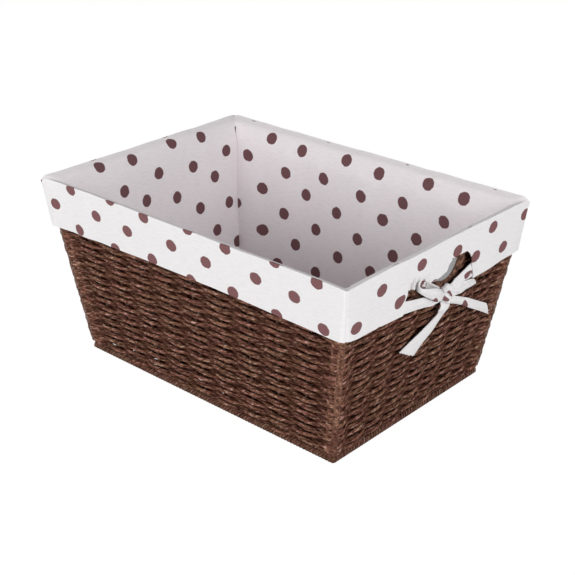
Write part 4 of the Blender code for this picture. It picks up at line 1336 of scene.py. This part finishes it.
class BASKET_OT_handles(BuildPiece, bpy.types.Operator):
    """Wind the borders of the two hand holes"""

    bl_idname = "basket.handles"
    bl_label = "Wind the hand hole borders"

    def build(self, scene):
        rope = scene.basket_rope
        material = wrap_material(
            "handle cord", tinted(rope.dark_colour, 0.8), tinted(rope.colour, 0.62),
            (0.33, 0.155, 0.09), 0.0024, 1.0)
        for name, side in (("right", 1), ("left", -1)):
            centres = hole_border_points(side)
            outward = np.tile((side * 1.0, 0.0, 0.15), (len(centres), 1))
            bundle = Bundle()
            bundle.add(wound_tube(centres, outward, **HANDLE_WINDING))
            dress(bundle.piece("hand_hole_wrap_" + name), material, "brown_wrap",
                  "handle_wrap_" + name)


class BASKET_OT_plain_parts(BuildPiece, bpy.types.Operator):
    """Give the wires and stakes their own finish"""

    bl_idname = "basket.plain_parts"
    bl_label = "Finish wires and stakes"

    def build(self, scene):
        finishes = {"wire": steel_material(), "stake": stake_material(scene.basket_rope)}
        for node in scene.objects:
            finish = next((finishes[word] for word in finishes if word in node.name), None)
            if finish and node.type == "MESH":
                for place in node.material_slots:
                    place.material = finish


class BASKET_OT_liner(BuildPiece, bpy.types.Operator):
    """Hang the four liner walls and lay its floor"""

    bl_idname = "basket.liner"
    bl_label = "Sew in the liner"

    def build(self, scene):
        liner = scene.basket_liner
        material = cotton_material("spotted cotton", liner)
        for side in SIDES:
            panel, width, length = liner_panel(side, liner.thickness)
            dress(panel, material, "dotted_cotton", "liner_" + side)
        floor, width, length = liner_floor_sheet(liner.thickness)
        dress(floor, material, "dotted_cotton", "liner_floor")


class BASKET_OT_bows(BuildPiece, bpy.types.Operator):
    """Tie the two bows"""

    bl_idname = "basket.bows"
    bl_label = "Tie the bows"

    def build(self, scene):
        liner = scene.basket_liner
        material = cotton_material("bow cotton", liner, 0.9)
        # The turned edge lies in shadow behind the cuff, so its unprinted cloth is darkened with
        # painted shade
        wrong_side_in_painted_shade = cotton_material("cotton's wrong side", liner, 0.9, True)
        for number, (name, data) in enumerate(BOW_STRIPS.items()):
            strip, length, width = ribbon(name + "_of_bow_right", data, 100 + 9 * number)
            copy = turned_copy(strip, name + "_of_bow_left")
            part, kind = name.split("_")
            for piece, end in ((strip, "right"), (copy, "left")):
                if part == "turned":
                    dress(piece, wrong_side_in_painted_shade, "dotted_cotton")
                else:
                    dress(piece, material, "dotted_cotton", f"bow_{kind}_{part}_{end}")
                max(width, LEAST_BAND_WIDTH)
        knot = bow_knot("knot_of_bow_right")
        copy = turned_copy(knot, "knot_of_bow_left")
        for piece, end in ((knot, "right"), (copy, "left")):
            dress(piece, material, "dotted_cotton", "bow_knot_" + end)


def area_lamp(name, place, power):
    """A large round lamp that looks at the basket's middle."""
    lamp = bpy.data.lights.new(name, "AREA")
    lamp.shape = "DISK"
    lamp.size = 1.1
    lamp.energy = power
    holder = bpy.data.objects.new(name, lamp)
    holder.location = place
    looking = Vector((0.0, 0.0, 0.10)) - Vector(place)
    holder.rotation_euler = looking.to_track_quat("-Z", "Y").to_euler()
    bpy.context.scene.collection.objects.link(holder)
    return holder


class BASKET_OT_stage(BuildPiece, bpy.types.Operator):
    """Set the floor, backdrop, lamps and camera"""

    bl_idname = "basket.stage"
    bl_label = "Set the stage"

    def build(self, scene):
        stage = scene.basket_stage
        lowered = -0.0003
        corners = [(x, y, lowered) for x, y in ((-4, -4), (4, -4), (4, 4), (-4, 4))]
        floor = make_piece("floor", corners, [(0, 1, 2, 3)], shade_smooth=False)

        # Floor and sky look plain white to the camera, and light the basket more softly
        paper, tree, shader = start_material("floor paper", 0.9, 0.0)
        shader.inputs["Base Color"].default_value = (0.80, 0.80, 0.80, 1.0)
        camera_ray = add_node(tree, "LightPath").outputs["Is Camera Ray"]
        seen = maths(tree, "MULTIPLY", camera_ray, stage.backdrop_share)
        glow = add_node(tree, "Emission", {"Strength": 1.03}).outputs[0]
        both = add_node(tree, "MixShader", {0: seen, 1: shader.outputs[0], 2: glow}).outputs[0]
        tree.links.new(both, tree.nodes["Material Output"].inputs["Surface"])
        floor.data.materials.append(paper)
        world = bpy.data.worlds.new("studio")
        world.use_nodes = True
        tree = world.node_tree
        camera_ray = add_node(tree, "LightPath").outputs["Is Camera Ray"]
        strength = add_node(tree, "Mix", {0: camera_ray, 2: stage.sky_strength, 3: 1.0}).outputs[0]
        ground = tree.nodes["Background"]
        ground.inputs["Color"].default_value = (1.0, 1.0, 1.0, 1.0)
        tree.links.new(strength, ground.inputs["Strength"])
        scene.world = world

        lamps = [area_lamp("key_lamp", (-0.30, -1.95, 0.80), stage.key_power),
                 area_lamp("fill_lamp", (1.95, -0.30, 0.80), stage.fill_power)]
        camera_data = bpy.data.cameras.new("photo camera")
        camera_data.lens = stage.focal_length
        camera_data.clip_start = 0.05
        camera = bpy.data.objects.new("photo camera", camera_data)
        scene.collection.objects.link(camera)
        a, e = stage.azimuth, stage.elevation
        back = Vector((math.sin(a) * math.cos(e), -math.cos(a) * math.cos(e), math.sin(e)))
        right = Vector((math.cos(a), math.sin(a), 0.0))
        up = back.cross(right)
        turn = Matrix((right, up, back)).transposed().to_4x4()
        place = back * stage.distance + right * 0.00616 + up * 0.07261
        camera.matrix_world = Matrix.Translation(place) @ turn
        scene.camera = camera
        scene.view_settings.view_transform = "Standard"


class BASKET_PT_panel(bpy.types.Panel):
    """Lists the basket's pieces and sizes"""

    bl_label = "Lined rope basket"
    bl_space_type = "VIEW_3D"
    bl_region_type = "UI"
    bl_category = "Basket"

    def draw(self, context):
        for group in (context.scene.basket_rope, context.scene.basket_liner,
                      context.scene.basket_stage):
            box = self.layout.box()
            for name in group.__annotations__:
                box.prop(group, name)
        for operator in OPERATORS:
            self.layout.operator(operator.bl_idname)


OPERATORS = (
    BASKET_OT_weave, BASKET_OT_mat, BASKET_OT_borders, BASKET_OT_corner_posts,
    BASKET_OT_handles, BASKET_OT_plain_parts, BASKET_OT_liner, BASKET_OT_bows, BASKET_OT_stage,
)
CLASSES = (BasketRope, BasketLiner, BasketStage, *OPERATORS, BASKET_PT_panel)


def register():
    for item in CLASSES:
        bpy.utils.register_class(item)
    bpy.types.Scene.basket_rope = PointerProperty(type=BasketRope)
    bpy.types.Scene.basket_liner = PointerProperty(type=BasketLiner)
    bpy.types.Scene.basket_stage = PointerProperty(type=BasketStage)


def unregister():
    del bpy.types.Scene.basket_stage
    del bpy.types.Scene.basket_liner
    del bpy.types.Scene.basket_rope
    for item in reversed(CLASSES):
        bpy.utils.unregister_class(item)


def main():
    register()
    for operator in OPERATORS:
        family, name = operator.bl_idname.split(".")
        if getattr(getattr(bpy.ops, family), name)() != {"FINISHED"}:
            raise RuntimeError(operator.bl_label + " was not finished")


if __name__ == "__main__":
    main()
